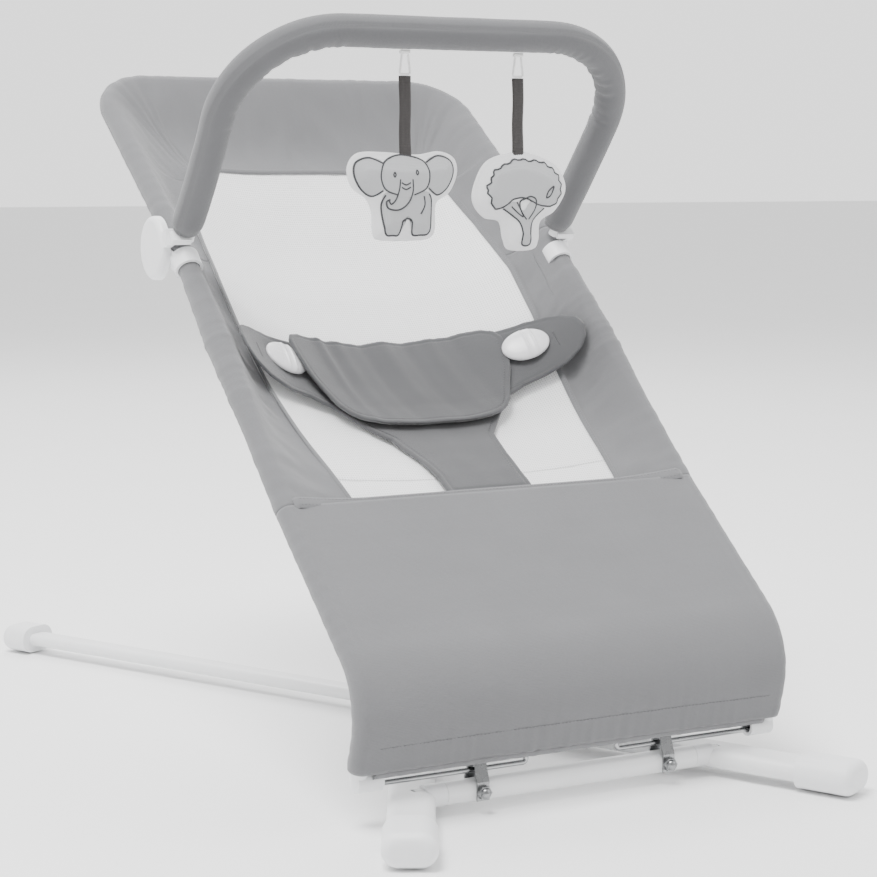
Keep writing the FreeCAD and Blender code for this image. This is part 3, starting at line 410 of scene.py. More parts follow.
def border_section(u, side):
    """Points over the border at u, from the mesh's edge outwards, over the tube and under it."""
    (tube_x, tube_along), way = tube_at(u)
    if u < 452:
        in_x, in_along = mesh_half(max(u, 3)), max(u, 3)
    else:
        in_x = float(np.interp(u, U_KEYS, IN_X))
        in_along = float(np.interp(u, U_KEYS, IN_ALONG))
    run_x, run_along = in_x - tube_x, in_along - tube_along
    length = math.hypot(run_x, run_along)
    loose = max(0.0, 1 - abs(u - 190) / 95)
    clear = 1 if 272 < u < 312 else 0
    puckers = 1.3 * abs(pinch(u / 17, side * 4, 5)) + 2.4 * loose * abs(pinch(u / 9, side * 9, 2))
    wrap = WRAP + (0 if clear else puckers + 2.2 * loose)
    low = hang(in_x, in_along)
    slope = math.atan2(1.12 * (wrap - low), length)
    start, start_out = wrap * math.sin(slope), wrap * math.cos(slope)
    inner = hang(in_x + run_x / length * 4, in_along + run_along / length * 4)
    end_slope = (low - inner) / 4
    begin = (tube_x + way[0] * start, tube_along + way[1] * start)
    reach = math.dist(begin, (in_x, in_along))
    knee = (begin[0] + way[0] * reach * 0.4, begin[1] + way[1] * reach * 0.4)
    section = []
    for k in range(INNER_STEPS):
        f = 1 - k / (INNER_STEPS - 1)
        x = (1 - f) ** 2 * begin[0] + 2 * f * (1 - f) * knee[0] + f * f * in_x
        along = (1 - f) ** 2 * begin[1] + 2 * f * (1 - f) * knee[1] + f * f * in_along
        h00, h10 = 2 * f ** 3 - 3 * f ** 2 + 1, f ** 3 - 2 * f ** 2 + f
        h01, h11 = -2 * f ** 3 + 3 * f ** 2, f ** 3 - f ** 2
        out = (h00 * start_out + h10 * -math.tan(slope) * reach + h01 * low
               + h11 * end_slope * reach)
        arch = math.sin(math.pi * f)
        out += 2.6 * arch * pinch(u / 24 + f * 1.6, f * 2 + side * 7, 1)
        out += 1.9 * arch * (0.3 + loose) * pinch(u / 8 + f * 3, f * 1.5 + side * 3, 6)
        section.append((x, along, out))
    for k in range(1, WRAP_TURNS + 1):
        angle = slope - (slope + WRAP_ANGLE) * k / WRAP_TURNS
        section.append((tube_x + way[0] * wrap * math.sin(angle),
                        tube_along + way[1] * wrap * math.sin(angle), wrap * math.cos(angle)))
    last = section[-1]
    for k in UNDER_FLAPS:
        section.append((last[0] + way[0] * 5 * k, last[1] + way[1] * 5 * k,
                        last[2] - 0.4 * k))
    return [(side * x, along, out) for x, along, out in section]


def border(name, rows, replaced):
    """A run of the border through rows of (u, side)."""
    points, spots = [], []
    for count, (u, side) in enumerate(rows):
        section = border_section(u, side)
        gone = 0.0
        for k, (x, along, out) in enumerate(section):
            if k:
                gone += math.dist((x, along, out), section[k - 1])
            points.append(on_back(x, along, out))
            spots.append((gone * MM, (u if side < 0 else 2 * U_HALF - u) * MM))
    columns = len(points) // len(rows)
    faces = grid_faces(len(rows), columns)
    made = piece(name, points, [f[::-1] for f in faces], FABRIC, "seat", spots)
    cloth_thickness(made, 1.1)
    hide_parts(*replaced)
    return made


def even(start, stop, count):
    return [start + (stop - start) * k / (count - 1) for k in range(count)]


SPLIT = 326
left_side = border("side_cover_left", [(u, -1) for u in even(0, SPLIT, 110)], ["side_panel_left"])
right_side = border("side_cover_right", [(u, 1) for u in even(SPLIT, 0, 110)],
                    ["side_panel_right"])
head_rows = [(u, -1) for u in even(SPLIT, U_HALF, 150)]
head_rows += [(u, 1) for u in even(U_HALF, SPLIT, 150)][1:]
head_cover = border("border", head_rows, ["side_panel_upper_left", "side_panel_upper_right",
                                          "head_panel", "head_panel_top"])

# ------------------------------------------------------------------ the leg panel
BULGE_LOW = (BULGE_AT[0] - BULGE * math.cos(LEAN), BULGE_AT[1] - BULGE * math.sin(LEAN))
to_crease = (CREASE[0] - BULGE_AT[0], CREASE[1] - BULGE_AT[1])
SHIN = math.atan2(to_crease[1], to_crease[0]) - math.asin(BULGE / math.hypot(*to_crease))
HEM_Z = 47.5
HEM_RUN = (BULGE_LOW[1] - HEM_Z) / math.cos(LEAN)
ARC_RUN = BULGE * (math.radians(90) + LEAN - SHIN)
SHIN_RUN = math.sqrt(math.hypot(*to_crease) ** 2 - BULGE ** 2)
LEG_RUN = HEM_RUN + ARC_RUN + SHIN_RUN
LEG_STEPS = 110
LEG_TURNS = 16


def leg_line(d):
    """The side tube's centre line from the hem up: (y, z) and its direction."""
    if d <= HEM_RUN:
        more = HEM_RUN - d
        return (BULGE_LOW[0] + more * math.sin(LEAN), BULGE_LOW[1] - more * math.cos(LEAN),
                math.pi / 2 + LEAN)
    if d <= HEM_RUN + ARC_RUN:
        turn = math.pi + LEAN - (d - HEM_RUN) / BULGE
        return (BULGE_AT[0] + BULGE * math.cos(turn), BULGE_AT[1] + BULGE * math.sin(turn),
                turn - math.pi / 2)
    left = LEG_RUN - d
    return CREASE[0] - left * math.cos(SHIN), CREASE[1] - left * math.sin(SHIN), SHIN


def on_leg(x, d, out):
    y, z, turn = leg_line(d)
    return at(x, y - out * math.sin(turn), z + out * math.cos(turn))


def leg_out(x, d):
    """How far out the leg panel lies between the tubes."""
    slack = 2.6 * math.sin(math.pi * min(1, max(0, d) / LEG_RUN)) + 1.2
    low = max(0.0, 1 - d / 70)
    folds = 0.9 * low * pinch(x / 7, d / 60, 4) + 0.6 * pinch(x / 60, d / 30, 6)
    gathered = math.exp(-((x + 70) / 62) ** 2) * math.exp(-((d - 52) / 24) ** 2)
    folds += 1.1 * gathered * pinch(x / 3.6, d / 50, 7)
    return WRAP - slack * (1 - min(1, abs(x) / 185) ** 6) + folds * (1 - min(1, abs(x) / 188) ** 4)


def leg_section(d):
    right = []
    for k in range(LEG_STEPS + 1):
        x = HALF * k / LEG_STEPS
        right.append((x, leg_out(x, d)))
    wrap = WRAP + 0.9 * abs(pinch(d / 14, 3, 9))
    right[-1] = (HALF, wrap)
    for k in range(1, LEG_TURNS + 1):
        angle = -WRAP_ANGLE * k / LEG_TURNS
        right.append((HALF - wrap * math.sin(angle), wrap * math.cos(angle)))
    for _ in UNDER_FLAPS:
        right.append((right[-1][0] - 5, right[-1][1]))
    return [(-x, out) for x, out in reversed(right[1:])] + right


points, spots = [], []
LEG_ROWS = 96
for i in range(LEG_ROWS):
    d = LEG_RUN * i / (LEG_ROWS - 1)
    section, gone = leg_section(d), 0.0
    for k, (x, out) in enumerate(section):
        gone += math.dist((x, out), section[k - 1]) if k else 0.0
        points.append(on_leg(x, d, out))
        spots.append((gone * MM, d * MM))
faces = grid_faces(LEG_ROWS, len(section))
leg_cover = piece("leg_cover", points, faces, FABRIC, "seat", spots)
cloth_thickness(leg_cover, 1.1)
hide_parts("leg_panel")

# The hem is turned under round the hem tube and sewn down behind.
ROLL = 8.4
points, spots = [], []
HEM_HALF = 184
HEM_COLUMNS = 90
rows = 24
for i in range(rows):
    for j in range(HEM_COLUMNS):
        x = -HEM_HALF + 2 * HEM_HALF * j / (HEM_COLUMNS - 1)
        top = leg_out(x, 0)
        if i < 14:
            turn = math.pi * i / 13
            out = top - ROLL + ROLL * math.cos(turn)
            d = -ROLL * math.sin(turn)
        else:
            out = top - 2 * ROLL
            d = (i - 13) * 2.6
        points.append(on_leg(x, d, out))
        spots.append((x * MM, -(i * 2) * MM))
hem = piece("hem_roll", points, [f[::-1] for f in grid_faces(rows, HEM_COLUMNS)], FABRIC, "seat",
            spots)
cloth_thickness(hem, 1.1)


# ------------------------------------------------------------------ seams and stitches
def ribbon(name, path, place, wide, high, material, body="seat"):
    """A sewn tape over a surface: path of (x, along) and place(x, along, out) in the frame."""
    ribs = 6
    points, spots = [], []
    gone = 0.0
    for i, (x, along) in enumerate(path):
        before, after = path[max(0, i - 1)], path[min(len(path) - 1, i + 1)]
        run = (after[0] - before[0], after[1] - before[1])
        length = math.hypot(*run) or 1
        side = (-run[1] / length, run[0] / length)
        gone += math.dist((x, along), path[i - 1]) if i else 0.0
        for k in range(ribs + 1):
            t = -1 + 2 * k / ribs
            rise = high * (1 - t ** 4)
            points.append(place(x + side[0] * wide / 2 * t, along + side[1] * wide / 2 * t, rise))
            spots.append((wide * t / 2 * MM, gone * MM))
    return piece(name, points, grid_faces(len(path), ribs + 1), material, body, spots)


def stitches(name, paths, place, material, body="seat", pitch=3.4, long=2.4, thick=0.32):
    """Rows of short raised stitches along paths of (x, along)."""
    points, faces = [], []
    for path in paths:
        reach = [0.0]
        for a, b in zip(path, path[1:]):
            reach.append(reach[-1] + math.dist(a, b))
        xs, ys = [q[0] for q in path], [q[1] for q in path]
        start = pitch / 2
        while start + long < reach[-1]:
            ends = []
            for r in (start, start + long):
                ends.append((float(np.interp(r, reach, xs)), float(np.interp(r, reach, ys))))
            run = (ends[1][0] - ends[0][0], ends[1][1] - ends[0][1])
            length = math.hypot(*run) or 1
            side = (-run[1] / length * thick, run[0] / length * thick)
            first = len(points)
            for x, along in ends:
                for across, out in ((-1, 0.0), (-0.6, thick), (0.6, thick), (1, 0.0)):
                    points.append(place(x + side[0] * across, along + side[1] * across, out))
            faces += [(first + k, first + k + 1, first + k + 5, first + k + 4) for k in range(3)]
            faces += [(first, first + 4, first + 7, first + 3), (first, first + 3, first + 2, first + 1),
                      (first + 4, first + 5, first + 6, first + 7)]
            start += pitch
    return piece(name, points, faces, material, body)


def over_leg(x, d, out):
    return on_leg(x, d, leg_out(x, d) + 0.15 + out)


crease_path = [(x, 2.0) for x in np.linspace(-190, 190, 90)]


def crease_place(x, along, out):
    side = min(1.0, max(0.0, (abs(x) - 120) / 66))
    rise = 3.2 + (WRAP - 2.0) * side ** 1.5
    fall = 0.0 if abs(x) < 186 else -(abs(x) - 186) * 0.6
    return on_back(x, along, rise + fall + out)


ribbon("crease_tape", crease_path, crease_place, 12, 1.6, FABRIC)
stitches("crease_stitches", [[(x, -1.2) for x in np.linspace(-186, 186, 120)],
                             [(x, 5.2) for x in np.linspace(-186, 186, 120)]],
         lambda x, a, o: crease_place(x, a, 1.3 + o), THREAD)

# Under the tape, the top of the leg panel is turned down to the back.
points, spots = [], []
for t in np.linspace(0, 1, 9):
    for x in np.linspace(-189, 189, 110):
        tuck = max(0.0, (abs(x) - 176) / 13) * 2.0
        low = np.array(on_back(x, 6, hang(x, 6) - 1.4 + tuck))
        high = np.array(on_leg(x, LEG_RUN - 3, leg_out(x, LEG_RUN - 3) - 0.6))
        points.append(tuple(low + (high - low) * t))
        spots.append((x * MM, 12 * t * MM))
piece("crease_turn", points, grid_faces(9, 110), FABRIC, "seat", spots)
HEM_SEAM = 22
stitches("hem_stitches", [[(x, HEM_SEAM) for x in np.linspace(-184, 184, 140)],
                          [(-150, d) for d in np.linspace(2, HEM_SEAM, 8)]],
         over_leg, THREAD)

mesh_edge_path = [(-mesh_half(a), a) for a in np.linspace(4, 470, 150)]
top_path = [(x, 474.5 + 4.5 * (1 - (x / 112) ** 2)) for x in np.linspace(-110, 110, 60)]
edge_loop = mesh_edge_path + top_path + [(-x, a) for x, a in reversed(mesh_edge_path)]
ribbon("mesh_binding", edge_loop, lambda x, a, o: on_back(x, a, hang(x, a) - 0.5 + o), 5.0, 1.3,
       FABRIC)
stitches("mesh_stitches", [edge_loop], lambda x, a, o: on_back(x, a, hang(x, a) + 0.6 + o), THREAD,
         thick=0.28)
SEAM_ALONG = 34
ribbon("mesh_seam", [(x, SEAM_ALONG + 6 * (x / 131) ** 2) for x in np.linspace(-131, 131, 80)],
       lambda x, a, o: on_back(x, a, hang(x, a) - 1.7 + o), 5, 0.9, MESH)

# ------------------------------------------------------------------ harness
T_ALONG = [5, 30, 60, 97, 124, 147, 156, 159, 163, 171, 181, 193, 206, 216, 223, 228, 231, 233]
T_HALF = [41, 41, 44, 52, 72, 90, 112, 135, 153, 166, 173, 176, 173, 165, 154, 138, 112, 40]
FLAP_ALONG = [114, 115, 118, 123, 130, 140, 165, 180, 200, 218, 228, 234, 236.5]
FLAP_HALF = [24, 42, 58, 71, 80, 88, 99, 106, 111, 112, 107, 96, 78]


def outline_of(alongs, halves, count=400):
    """Points round a symmetric outline given by its half width at each distance along."""
    right = list(zip(halves, alongs))
    ring = right + [(-x, a) for x, a in reversed(right)]
    ring.append(ring[0])
    reach = [0.0]
    for a, b in zip(ring, ring[1:]):
        reach.append(reach[-1] + math.dist(a, b))
    spots = np.linspace(0, reach[-1], count, endpoint=False)
    return np.column_stack([np.interp(spots, reach, [q[0] for q in ring]),
                            np.interp(spots, reach, [q[1] for q in ring])])


def pad_piece(name, alongs, halves, rows, columns, base, thick, rim, extra, material, body="seat"):
    """A padded plate on the sling: its rim rounds off, its face follows extra(x, along)."""
    edge = outline_of(alongs, halves)
    first, last = alongs[0], alongs[-1]
    levels = sorted(set(np.round(np.concatenate([
        np.linspace(first, last, rows),
        np.array(alongs),
        first + (last - first) * (1 - np.cos(np.linspace(0, np.pi / 2, 10))) * 0.06,
        last - (last - first) * (1 - np.cos(np.linspace(0, np.pi / 2, 10))) * 0.06]), 3)))
    across = np.sin(np.linspace(-np.pi / 2, np.pi / 2, columns)) * 0.55 \
        + np.linspace(-1, 1, columns) * 0.45
    sheet_points = {"top": [], "under": []}
    spots = []
    for along in levels:
        half = float(np.interp(along, alongs, halves))
        for u in across:
            x = u * half
            gap = float(np.min(np.hypot(edge[:, 0] - x, edge[:, 1] - along)))
            if abs(u) > 0.9999 or along in (levels[0], levels[-1]):
                gap = 0.0
            t = min(1.0, gap / rim)
            swell = math.sqrt(max(0.0, 1 - (1 - t) ** 2))
            middle = hang(x, along) + base + thick / 2 + extra(x, along)
            groove = 0.55 * math.exp(-((gap - rim * 1.5) / 1.1) ** 2)
            sheet_points["top"].append(on_back(x, along, middle + thick / 2 * swell - groove))
            sheet_points["under"].append(on_back(x, along, middle - thick / 2 * swell))
            spots.append((x * MM, along * MM))
    rows_now, total = len(levels), len(levels) * columns
    top_faces = grid_faces(rows_now, columns)
    faces = top_faces + [tuple(v + total for v in f[::-1]) for f in top_faces]
    made = piece(name, sheet_points["top"] + sheet_points["under"], faces, material, body,
                 spots + spots)
    weld = made.modifiers.new("rim", "WELD")
    weld.merge_threshold = 0.0002
    return made


def wing_lift(x, along):
    """The wings stand off the side panels, the left one more."""
    reach = max(0.0, (abs(x) - 118) / 56)
    rise = (10 if x < 0 else 7) * reach ** 1.5 + 4.5 * min(1, max(0, (abs(x) - 60) / 50))
    soft = 0.7 * pinch(x / 24, along / 30, 11) + 0.5 * pinch(x / 60, along / 18, 12)
    return rise + soft


t_pad = pad_piece("harness_base", T_ALONG, T_HALF, 90, 64, 1.2, 4.6, 3.2, wing_lift, HARNESS)
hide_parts("harness_crotch", "harness_wing_left", "harness_wing_right")

FOLDS = ((-72, 5, 2.6), (-52, 7, 2.2), (-26, 6, -1.8), (-4, 9, 2.4), (18, 6, -1.6), (44, 8, 1.6),
         (66, 6, -1.2))


def flap_lift(x, along):
    """Soft upright folds, a rolled left edge and a lifted lower rim."""
    high = (along - 114) / 122
    out = 0.0
    for centre, wide, tall in FOLDS:
        lean = centre + 14 * (1 - high)
        out += 1.5 * tall * math.exp(-((x - lean) / wide) ** 2) * (0.15 + 0.85 * high) * (1.1 - high * 0.4)
    left = max(0.0, (-x - 62) / 42)
    out += 9 * min(1.1, left) ** 1.6 * (0.4 + 0.6 * min(1, high * 1.6)) * (1 - 0.45 * high ** 4)
    out += 4.0 * min(1, max(0, (abs(x) - 50) / 45)) * high
    out += 2.2 * max(0.0, 1 - (along - 114) / 30)
    return out + 0.5 * pinch(x / 18, along / 25, 21)


flap = pad_piece("harness_flap_pad", FLAP_ALONG, FLAP_HALF, 80, 90, 7.2, 5.2, 3.4, flap_lift, HARNESS)
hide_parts("harness_flap")

inset = 7.0
t_edge = [(max(4, h - inset), a) for h, a in zip(T_HALF, T_ALONG) if 8 < a < 226]
stitches("harness_stitches",
         [t_edge[:5], [(-x, a) for x, a in t_edge[:5]]],
         lambda x, a, o: on_back(x, a, hang(x, a) + 5.6 + wing_lift(x, a) + o), DARK_THREAD,
         thick=0.28)
flap_edge = [(h - inset, a + (inset if a < 130 else 0)) for h, a in zip(FLAP_HALF, FLAP_ALONG)
             if a < 225]
flap_loop = [(-x, a) for x, a in reversed(flap_edge)] + flap_edge
stitches("flap_stitches", [flap_loop],
         lambda x, a, o: on_back(x, a, hang(x, a) + 12.1 + flap_lift(x, a) + o), DARK_THREAD,
         thick=0.28)

# The sewn slit beside each button.
stitches("button_slits", [[(side * 152, a) for a in np.linspace(184, 204, 9)] for side in (-1, 1)],
         lambda x, a, o: on_back(x, a, hang(x, a) + 5.7 + wing_lift(x, a) + o), DARK_THREAD,
         pitch=2.2, long=2.0, thick=0.5)


TOGGLE_LONG, TOGGLE_WIDE, TOGGLE_CROWN = 21.5, 17.5, 5.6


def toggle(name, side, replaced):
    """An oval toggle with a soft crown and two ridges across it."""
    centre_x, centre_along = (125 if side > 0 else -120), 198
    rings, around = 40, 128
    lean = -side * 0.41
    base = hang(centre_x, centre_along) + (17.0 if side > 0 else 15.0)
    points = []

    def put(px, pa, out):
        points.append(on_back(centre_x + px, centre_along + pa, base + out + (-px * lean)))

    for i in range(rings):
        r = 1 - i / rings
        for k in range(around):
            turn = 2 * math.pi * k / around
            px, pa = TOGGLE_LONG * r * math.cos(turn), TOGGLE_WIDE * r * math.sin(turn)
            crown = TOGGLE_CROWN * (1 - r ** 2.6) ** 0.5
            reach = TOGGLE_WIDE * math.sqrt(max(1e-6, 1 - (px / 22) ** 2))
            fade = max(0.0, 1 - (abs(pa) / reach) ** 6)
            ridge = sum(1.5 * math.exp(-((px - place) / 1.1) ** 2) for place in (-1.5, 5.5)) * fade
            put(px, pa, crown + ridge)
    put(0, 0, TOGGLE_CROWN)
    top = len(points) - 1
    faces = grid_faces(rings, around, loop=True)
    faces += [((rings - 1) * around + k, (rings - 1) * around + (k + 1) % around, top)
              for k in range(around)]
    first = len(points)
    for r, out in ((0.97, -1.6), (0.5, -1.8)):
        for k in range(around):
            turn = 2 * math.pi * k / around
            put(TOGGLE_LONG * r * math.cos(turn), TOGGLE_WIDE * r * math.sin(turn), out)
    for k in range(around):
        n = (k + 1) % around
        faces.append((k, first + k, first + n, n))
        faces.append((first + k, first + around + k, first + around + n, first + n))
    faces.append(tuple(first + around + k for k in reversed(range(around))))
    made = piece(name, points, faces, BUTTON, "seat")
    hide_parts(replaced)


toggle("toggle_left", -1, "harness_button_left")
toggle("toggle_right", 1, "harness_button_right")

# ------------------------------------------------------------------ toy bar
BAR = math.radians(51.7)
BAR_REACH, BAR_HALF, BAR_FOOT, BAR_CORNER, SLEEVE_START = 242, 197, 190, 92, 21


def on_bar(x, reach, out=0.0):
    """A place in the toy bar's plane, reach from the hubs and out to the front."""
    return at(x, HUB[0] - reach * math.cos(BAR) - out * math.sin(BAR),
              HUB[1] + reach * math.sin(BAR) - out * math.cos(BAR))


def bar_line():
    """Evenly spaced points along the bar's bent line, with its inward direction."""
    corners = [(-BAR_FOOT, SLEEVE_START), (-BAR_HALF, BAR_REACH), (BAR_HALF, BAR_REACH),
               (BAR_FOOT, SLEEVE_START)]
    dense_line = [corners[0]]
    for before, corner, after in zip(corners, corners[1:], corners[2:]):
        a = np.subtract(before, corner).astype(float)
        b = np.subtract(after, corner).astype(float)
        a /= np.linalg.norm(a)
        b /= np.linalg.norm(b)
        half = math.acos(float(a @ b)) / 2
        centre = np.array(corner) + (a + b) / np.linalg.norm(a + b) * BAR_CORNER / math.sin(half)
        first = np.array(corner) + a * BAR_CORNER / math.tan(half)
        last = np.array(corner) + b * BAR_CORNER / math.tan(half)
        start = math.atan2(*(first - centre)[::-1])
        stop = math.atan2(*(last - centre)[::-1])
        while stop > start:
            stop -= 2 * math.pi
        for turn in np.linspace(start, stop, 60):
            dense_line.append(tuple(centre + BAR_CORNER * np.array([math.cos(turn), math.sin(turn)])))
    dense_line.append(corners[-1])
    reach = [0.0]
    for a, b in zip(dense_line, dense_line[1:]):
        reach.append(reach[-1] + math.dist(a, b))
    spots = np.linspace(0, reach[-1], 300)
    xs = np.interp(spots, reach, [q[0] for q in dense_line])
    rs = np.interp(spots, reach, [q[1] for q in dense_line])
    return spots, xs, rs


spots_along, bar_x, bar_r = bar_line()
run_x, run_r = np.gradient(bar_x), np.gradient(bar_r)
size = np.hypot(run_x, run_r)
run_x, run_r = run_x / size, run_r / size
bend_in = np.abs(np.gradient(np.unwrap(np.arctan2(run_r, run_x)))) > 0.002
RINGS = 40
points, spots = [], []
total_run = spots_along[-1]
for i, (gone, x, reach) in enumerate(zip(spots_along, bar_x, bar_r)):
    inward = (run_r[i], -run_x[i])
    end_gap = min(gone, total_run - gone)
    taper = 1 - 0.2 * math.exp(-((end_gap / 6) ** 2))
    for k in range(RINGS):
        turn = 2 * math.pi * k / RINGS
        facing = math.cos(turn)
        crumple = (1.7 if bend_in[i] else 0.25) * max(0.0, facing) ** 0.7
        radius = 14.2 * taper + crumple * pinch(gone / 5.5, facing * 0.8, 31)
        radius += 0.35 * pinch(gone / 40, turn, 33)
        radius -= 0.8 * math.exp(-((turn - 2.5) / 0.07) ** 2)
        across, out = radius * math.cos(turn), radius * math.sin(turn)
        back = 7 * max(0.0, 1 - reach / 130) ** 1.5
        points.append(on_bar(x * (1 + back / 450) + inward[0] * across,
                             reach + inward[1] * across, out - back))
        spots.append((radius * turn * MM, gone * MM))
faces = grid_faces(len(spots_along), RINGS, loop=True)
faces.append(tuple(range(RINGS))[::-1])
faces.append(tuple((len(spots_along) - 1) * RINGS + k for k in range(RINGS)))
sleeve = piece("bar_cover", points, faces, SLEEVE, "toy_bar", spots)
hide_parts("bar_sleeve")


# ------------------------------------------------------------------ toys
def closed_curve(knots, count):
    """A smooth closed line through knots."""
    made = []
    total = len(knots)
    for i in range(count):
        t = total * i / count
        k = int(t)
        f = t - k
        p0, p1, p2, p3 = (knots[(k + s) % total] for s in (-1, 0, 1, 2))
        made.append(tuple(0.5 * (2 * b + (c - a) * f + (2 * a - 5 * b + 4 * c - d) * f * f
                                 + (3 * b - a - 3 * c + d) * f ** 3)
                          for a, b, c, d in zip(p0, p1, p2, p3)))
    return made


def open_curve(knots, count=24):
    made = []
    padded_knots = [knots[0], *knots, knots[-1]]
    spans = len(knots) - 1
    for i in range(count):
        t = min(spans - 1e-6, spans * i / (count - 1))
        k = int(t)
        f = t - k
        p0, p1, p2, p3 = padded_knots[k:k + 4]
        made.append(tuple(0.5 * (2 * b + (c - a) * f + (2 * a - 5 * b + 4 * c - d) * f * f
                                 + (3 * b - a - 3 * c + d) * f ** 3)
                          for a, b, c, d in zip(p0, p1, p2, p3)))
    return made


class Toy:
    """A flat stuffed shape: a white body, printed patches and drawn lines on its front."""

    def __init__(self, name, side, knots, thick):
        self.name, self.side = name, side
        low, high = (np.array(c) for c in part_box(f"toy_{side}"))
        self.middle = (low + high) / 2
        ring = np.array(closed_curve(knots, 140))
        span = ring.max(axis=0) - ring.min(axis=0)
        room = np.array([high[0] - low[0], high[2] - low[2]]) / MM
        self.scale = room / span
        self.shift = (ring.max(axis=0) + ring.min(axis=0)) / 2
        self.ring = (ring - self.shift) * self.scale
        self.thick = thick

    def crown(self, x, z):
        gap = float(np.min(np.hypot(self.ring[:, 0] - x, self.ring[:, 1] - z)))
        t = min(1.0, gap / 16)
        seam = 1 - 0.12 * math.exp(-((gap - 3.6) / 1.2) ** 2)
        return self.thick / 2 * math.sqrt(max(0.0, 1 - (1 - t) ** 2)) * (0.35 + 0.65 * t) * seam

    def place(self, x, z, out):
        return (self.middle[0] + x * MM, self.middle[1] - out * MM, self.middle[2] + z * MM)

    def fit(self, knots):
        return [tuple((np.array(k) - self.shift) * self.scale) for k in knots]

    def body(self):
        rings, around = 22, len(self.ring)
        points = []
        for face in (1, -1):
            for i in range(rings):
                r = 1 - (i / rings) ** 1.4
                for x, z in self.ring * r:
                    points.append(self.place(x, z, face * self.crown(x, z) if i else 0.0))
            points.append(self.place(0, 0, face * self.crown(0, 0)))
        half = rings * around + 1
        faces = []
        for offset, flip in ((0, False), (half, True)):
            ring_faces = [tuple(v + offset for v in f) for f in grid_faces(rings, around, loop=True)]
            ring_faces += [(offset + half - 1, offset + (rings - 1) * around + k,
                            offset + (rings - 1) * around + (k + 1) % around) for k in range(around)]
            faces += [f[::-1] for f in ring_faces] if flip else ring_faces
        made = piece(self.name, points, faces, PLUSH, f"{self.side}_toy")
        weld = made.modifiers.new("seam", "WELD")
        weld.merge_threshold = 0.00005
        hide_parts(f"toy_{self.side}")
        return made

    def patch(self, name, knots, rise=0.4):
        """A printed area: a thin skin over the front inside a closed line."""
        ring = np.array(closed_curve(self.fit(knots), 80))
        centre = ring.mean(axis=0)
        points, rings = [], 10
        for i in range(rings):
            r = 1 - i / rings
            for x, z in centre + (ring - centre) * r:
                points.append(self.place(x, z, self.crown(x, z) + rise))
        points.append(self.place(*centre, self.crown(*centre) + rise))
        around, last = len(ring), rings * len(ring)
        faces = grid_faces(rings, around, loop=True)
        faces += [(last, (rings - 1) * around + k, (rings - 1) * around + (k + 1) % around)
                  for k in range(around)]
        return piece(name, points, faces, PRINT, f"{self.side}_toy")

    def lines(self, name, strokes, wide=0.8):
        """Drawn lines, as flat threads laid on the front. A stroke is (knots, closed)."""
        points, faces = [], []
        for knots, closed in strokes:
            fitted = self.fit(knots)
            path = closed_curve(fitted, 90) if closed else open_curve(fitted, 12 * len(knots))
            count = len(path)
            first = len(points)
            for i, (x, z) in enumerate(path):
                before = path[i - 1] if closed or i else path[0]
                after = path[(i + 1) % count] if closed or i < count - 1 else path[-1]
                run = (after[0] - before[0], after[1] - before[1])
                length = math.hypot(*run) or 1
                side = (-run[1] / length, run[0] / length)
                for t, rise in ((-1, 0.3), (-0.5, 0.85), (0.5, 0.85), (1, 0.3)):
                    px, pz = x + side[0] * wide * t, z + side[1] * wide * t
                    points.append(self.place(px, pz, self.crown(px, pz) + rise))
            rows_here = count + 1 if closed else count
            for i in range(rows_here - 1):
                for k in range(3):
                    a, b = first + i * 4 + k, first + ((i + 1) % count) * 4 + k
                    faces.append((a, a + 1, b + 1, b))
        return piece(name, points, faces, INK, f"{self.side}_toy")


ELEPHANT = [(-19, 39), (-42, 38), (-51, 25), (-47, 8), (-35, -2), (-30, -14), (-29, -32), (-23, -39),
            (4, -40), (21, -38), (27, -30), (28, -7), (40, 3), (47, 20), (44, 34), (30, 40), (10, 37)]
TREE = [(0, 46), (-28, 38), (-40, 18), (-42, 0), (-32, -14), (-18, -18), (-14, -34), (-8, -44),
        (14, -44), (20, -36), (22, -18), (36, -8), (46, 12), (38, 32), (20, 42)]
HEAD_RING = [(-20, 30), (-24, 18), (-20, 6), (-8, 0), (6, 0), (16, 7), (19, 19), (15, 31), (2, 36),
             (-9, 36)]
FACE = [(-9, 1), (-20, 6), (-24, 18), (-20, 30), (-9, 36), (2, 36), (15, 31), (19, 19), (16, 7), (5, 1)]
LEFT_EAR = [(-21, 29), (-33, 34), (-44, 30), (-46, 20), (-41, 8), (-31, 0), (-22, 5)]
RIGHT_EAR = [(17, 30), (28, 36), (39, 32), (42, 21), (37, 8), (28, 1), (18, 7)]
BODY_RING = [(-20, 3), (-22, -8), (-20, -24), (-18, -34), (-7, -34), (-5, -22), (3, -22), (5, -34),
             (20, -33), (21, -20), (22, -4), (17, 4), (0, 2)]
elephant = Toy("elephant", "left", ELEPHANT, 14)
elephant.body()
elephant.patch("elephant_left_ear", LEFT_EAR)
elephant.patch("elephant_right_ear", RIGHT_EAR)
elephant.patch("elephant_body", BODY_RING, 0.35)
elephant.patch("elephant_head", HEAD_RING, 0.5)
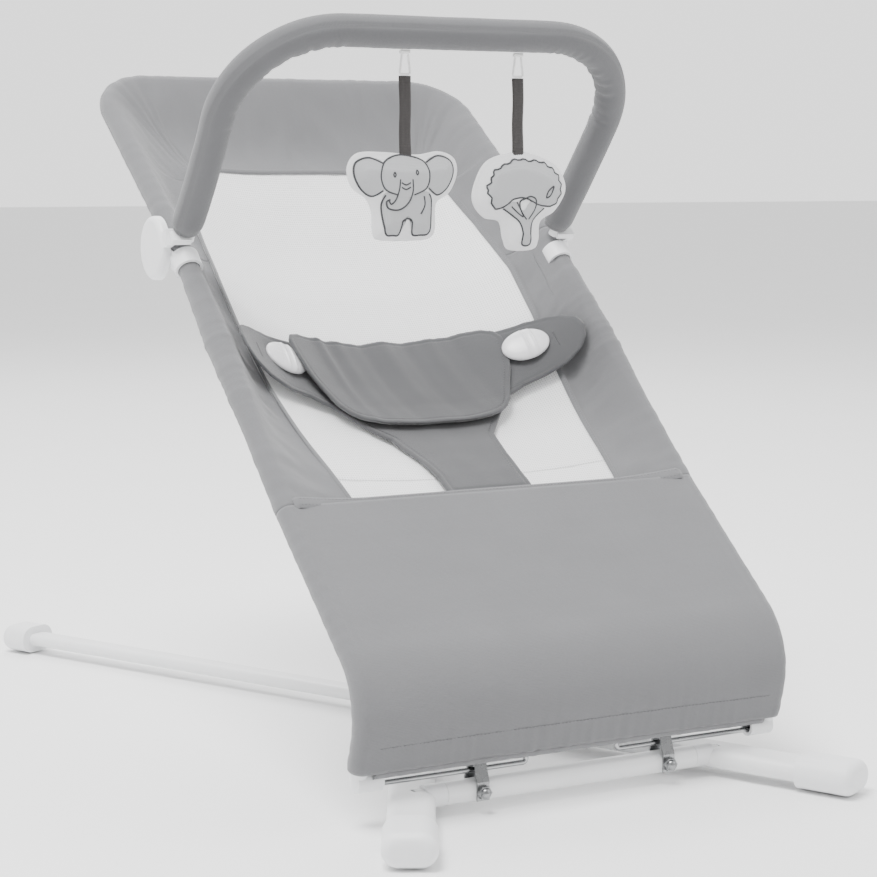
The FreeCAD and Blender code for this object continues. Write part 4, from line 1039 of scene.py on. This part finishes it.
elephant.lines("elephant_lines", [
    (LEFT_EAR, False), (RIGHT_EAR, False), (FACE, False),
    ([(-20, 1), (-23, -8), (-21, -24), (-18, -34), (-12, -35), (-7, -34), (-5, -22)], False),
    ([(-5, -22), (-1, -20), (3, -22), (5, -34), (12, -35), (20, -33), (22, -18), (22, -4), (19, 2)],
     False),
    ([(-7, 15), (-8, 6), (-11, -3), (-15, -7), (-17, -4)], False),
    ([(4, 15), (4, 4), (0, -6), (-8, -12), (-17, -11), (-19, -5), (-16, -3)], False),
    ([(14, 0), (15, -8), (11, -16)], False), ([(-6, 12), (-2, 10), (2, 12)], False),
    ([(-6, 8), (-2, 6), (2, 8)], False), ([(-12, 21), (-11, 19), (-12, 17), (-13, 19)], True),
    ([(8, 23), (9, 21), (8, 19), (7, 21)], True)])

tree = Toy("tree", "right", TREE, 14)
tree.body()
CROWN = [(-28, 4), (-31, 12), (-27, 20), (-24, 28), (-14, 34), (-3, 39), (8, 38), (20, 37), (29, 32),
         (36, 25), (39, 16), (39, 6), (33, -3), (24, -4), (15, -2), (8, 2), (1, 4), (-8, 2), (-15, -4),
         (-24, -6)]
TRUNK = [(-16, -6), (-6, 0), (2, -8), (8, -1), (14, 0), (22, -5), (12, -16), (9, -26), (10, -38),
         (3, -39), (2, -28), (-1, -19), (-8, -12)]
SCALLOPS = []
crown_line = closed_curve(CROWN, 46)
for k, (x, z) in enumerate(crown_line):
    SCALLOPS.append((x * (1.03 if k % 2 else 0.97), z * (1.02 if k % 2 else 0.97)))
tree.patch("tree_crown", CROWN)
tree.patch("tree_trunk", TRUNK, 0.5)
tree.lines("tree_lines", [
    (SCALLOPS, True),
    ([(-16, -6), (-8, -12), (-1, -19), (2, -28), (3, -39), (10, -39), (10, -28), (12, -17), (23, -6)],
     False),
    ([(-9, -4), (-3, -10), (2, -13), (-4, 0)], False),
    ([(5, -16), (0, -8), (-1, 0), (4, 3), (9, 5), (14, 2), (13, -7), (7, -16)], False),
    ([(28, 6), (31, 14), (26, 10), (24, 4)], True)])

# Straps of ribbed tape, folded and sewn at both ends.
for side in ("left", "right"):
    low, high = (np.array(c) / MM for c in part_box(f"toy_strap_{side}"))
    middle = (low + high) / 2
    wide, tall = high[0] - low[0], high[2] - low[2]
    rows_here, across = 60, 13
    points, spots = [], []
    for face in (1, -1):
        for i in range(rows_here):
            t = i / (rows_here - 1)
            z = high[2] - t * (tall + 5)
            sway = 0.5 * math.sin(3.1 * t * math.pi + (1 if side == "left" else 2))
            block = 0.5 if t > 0.88 or t < 0.07 else 0.0
            narrow = 1 - 0.05 * math.sin(math.pi * t)
            for j in range(across):
                u = -1 + 2 * j / (across - 1)
                rib = 0.22 * abs(math.sin(u * 9))
                half_thick = (0.75 + block + rib) * (1 - u ** 8)
                points.append((middle[0] * MM + u * wide / 2 * narrow * MM,
                               (middle[1] - face * half_thick + sway) * MM, z * MM))
                spots.append((u * wide / 2 * MM, z * MM))
    half = rows_here * across
    faces = [f[::-1] for f in grid_faces(rows_here, across)]
    faces += [tuple(v + half for v in f[::-1]) for f in faces]
    made = piece(f"strap_{side}", points, faces, WEBBING, f"{side}_toy", spots)
    weld = made.modifiers.new("edges", "WELD")
    weld.merge_threshold = 0.0001
    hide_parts(f"toy_strap_{side}")
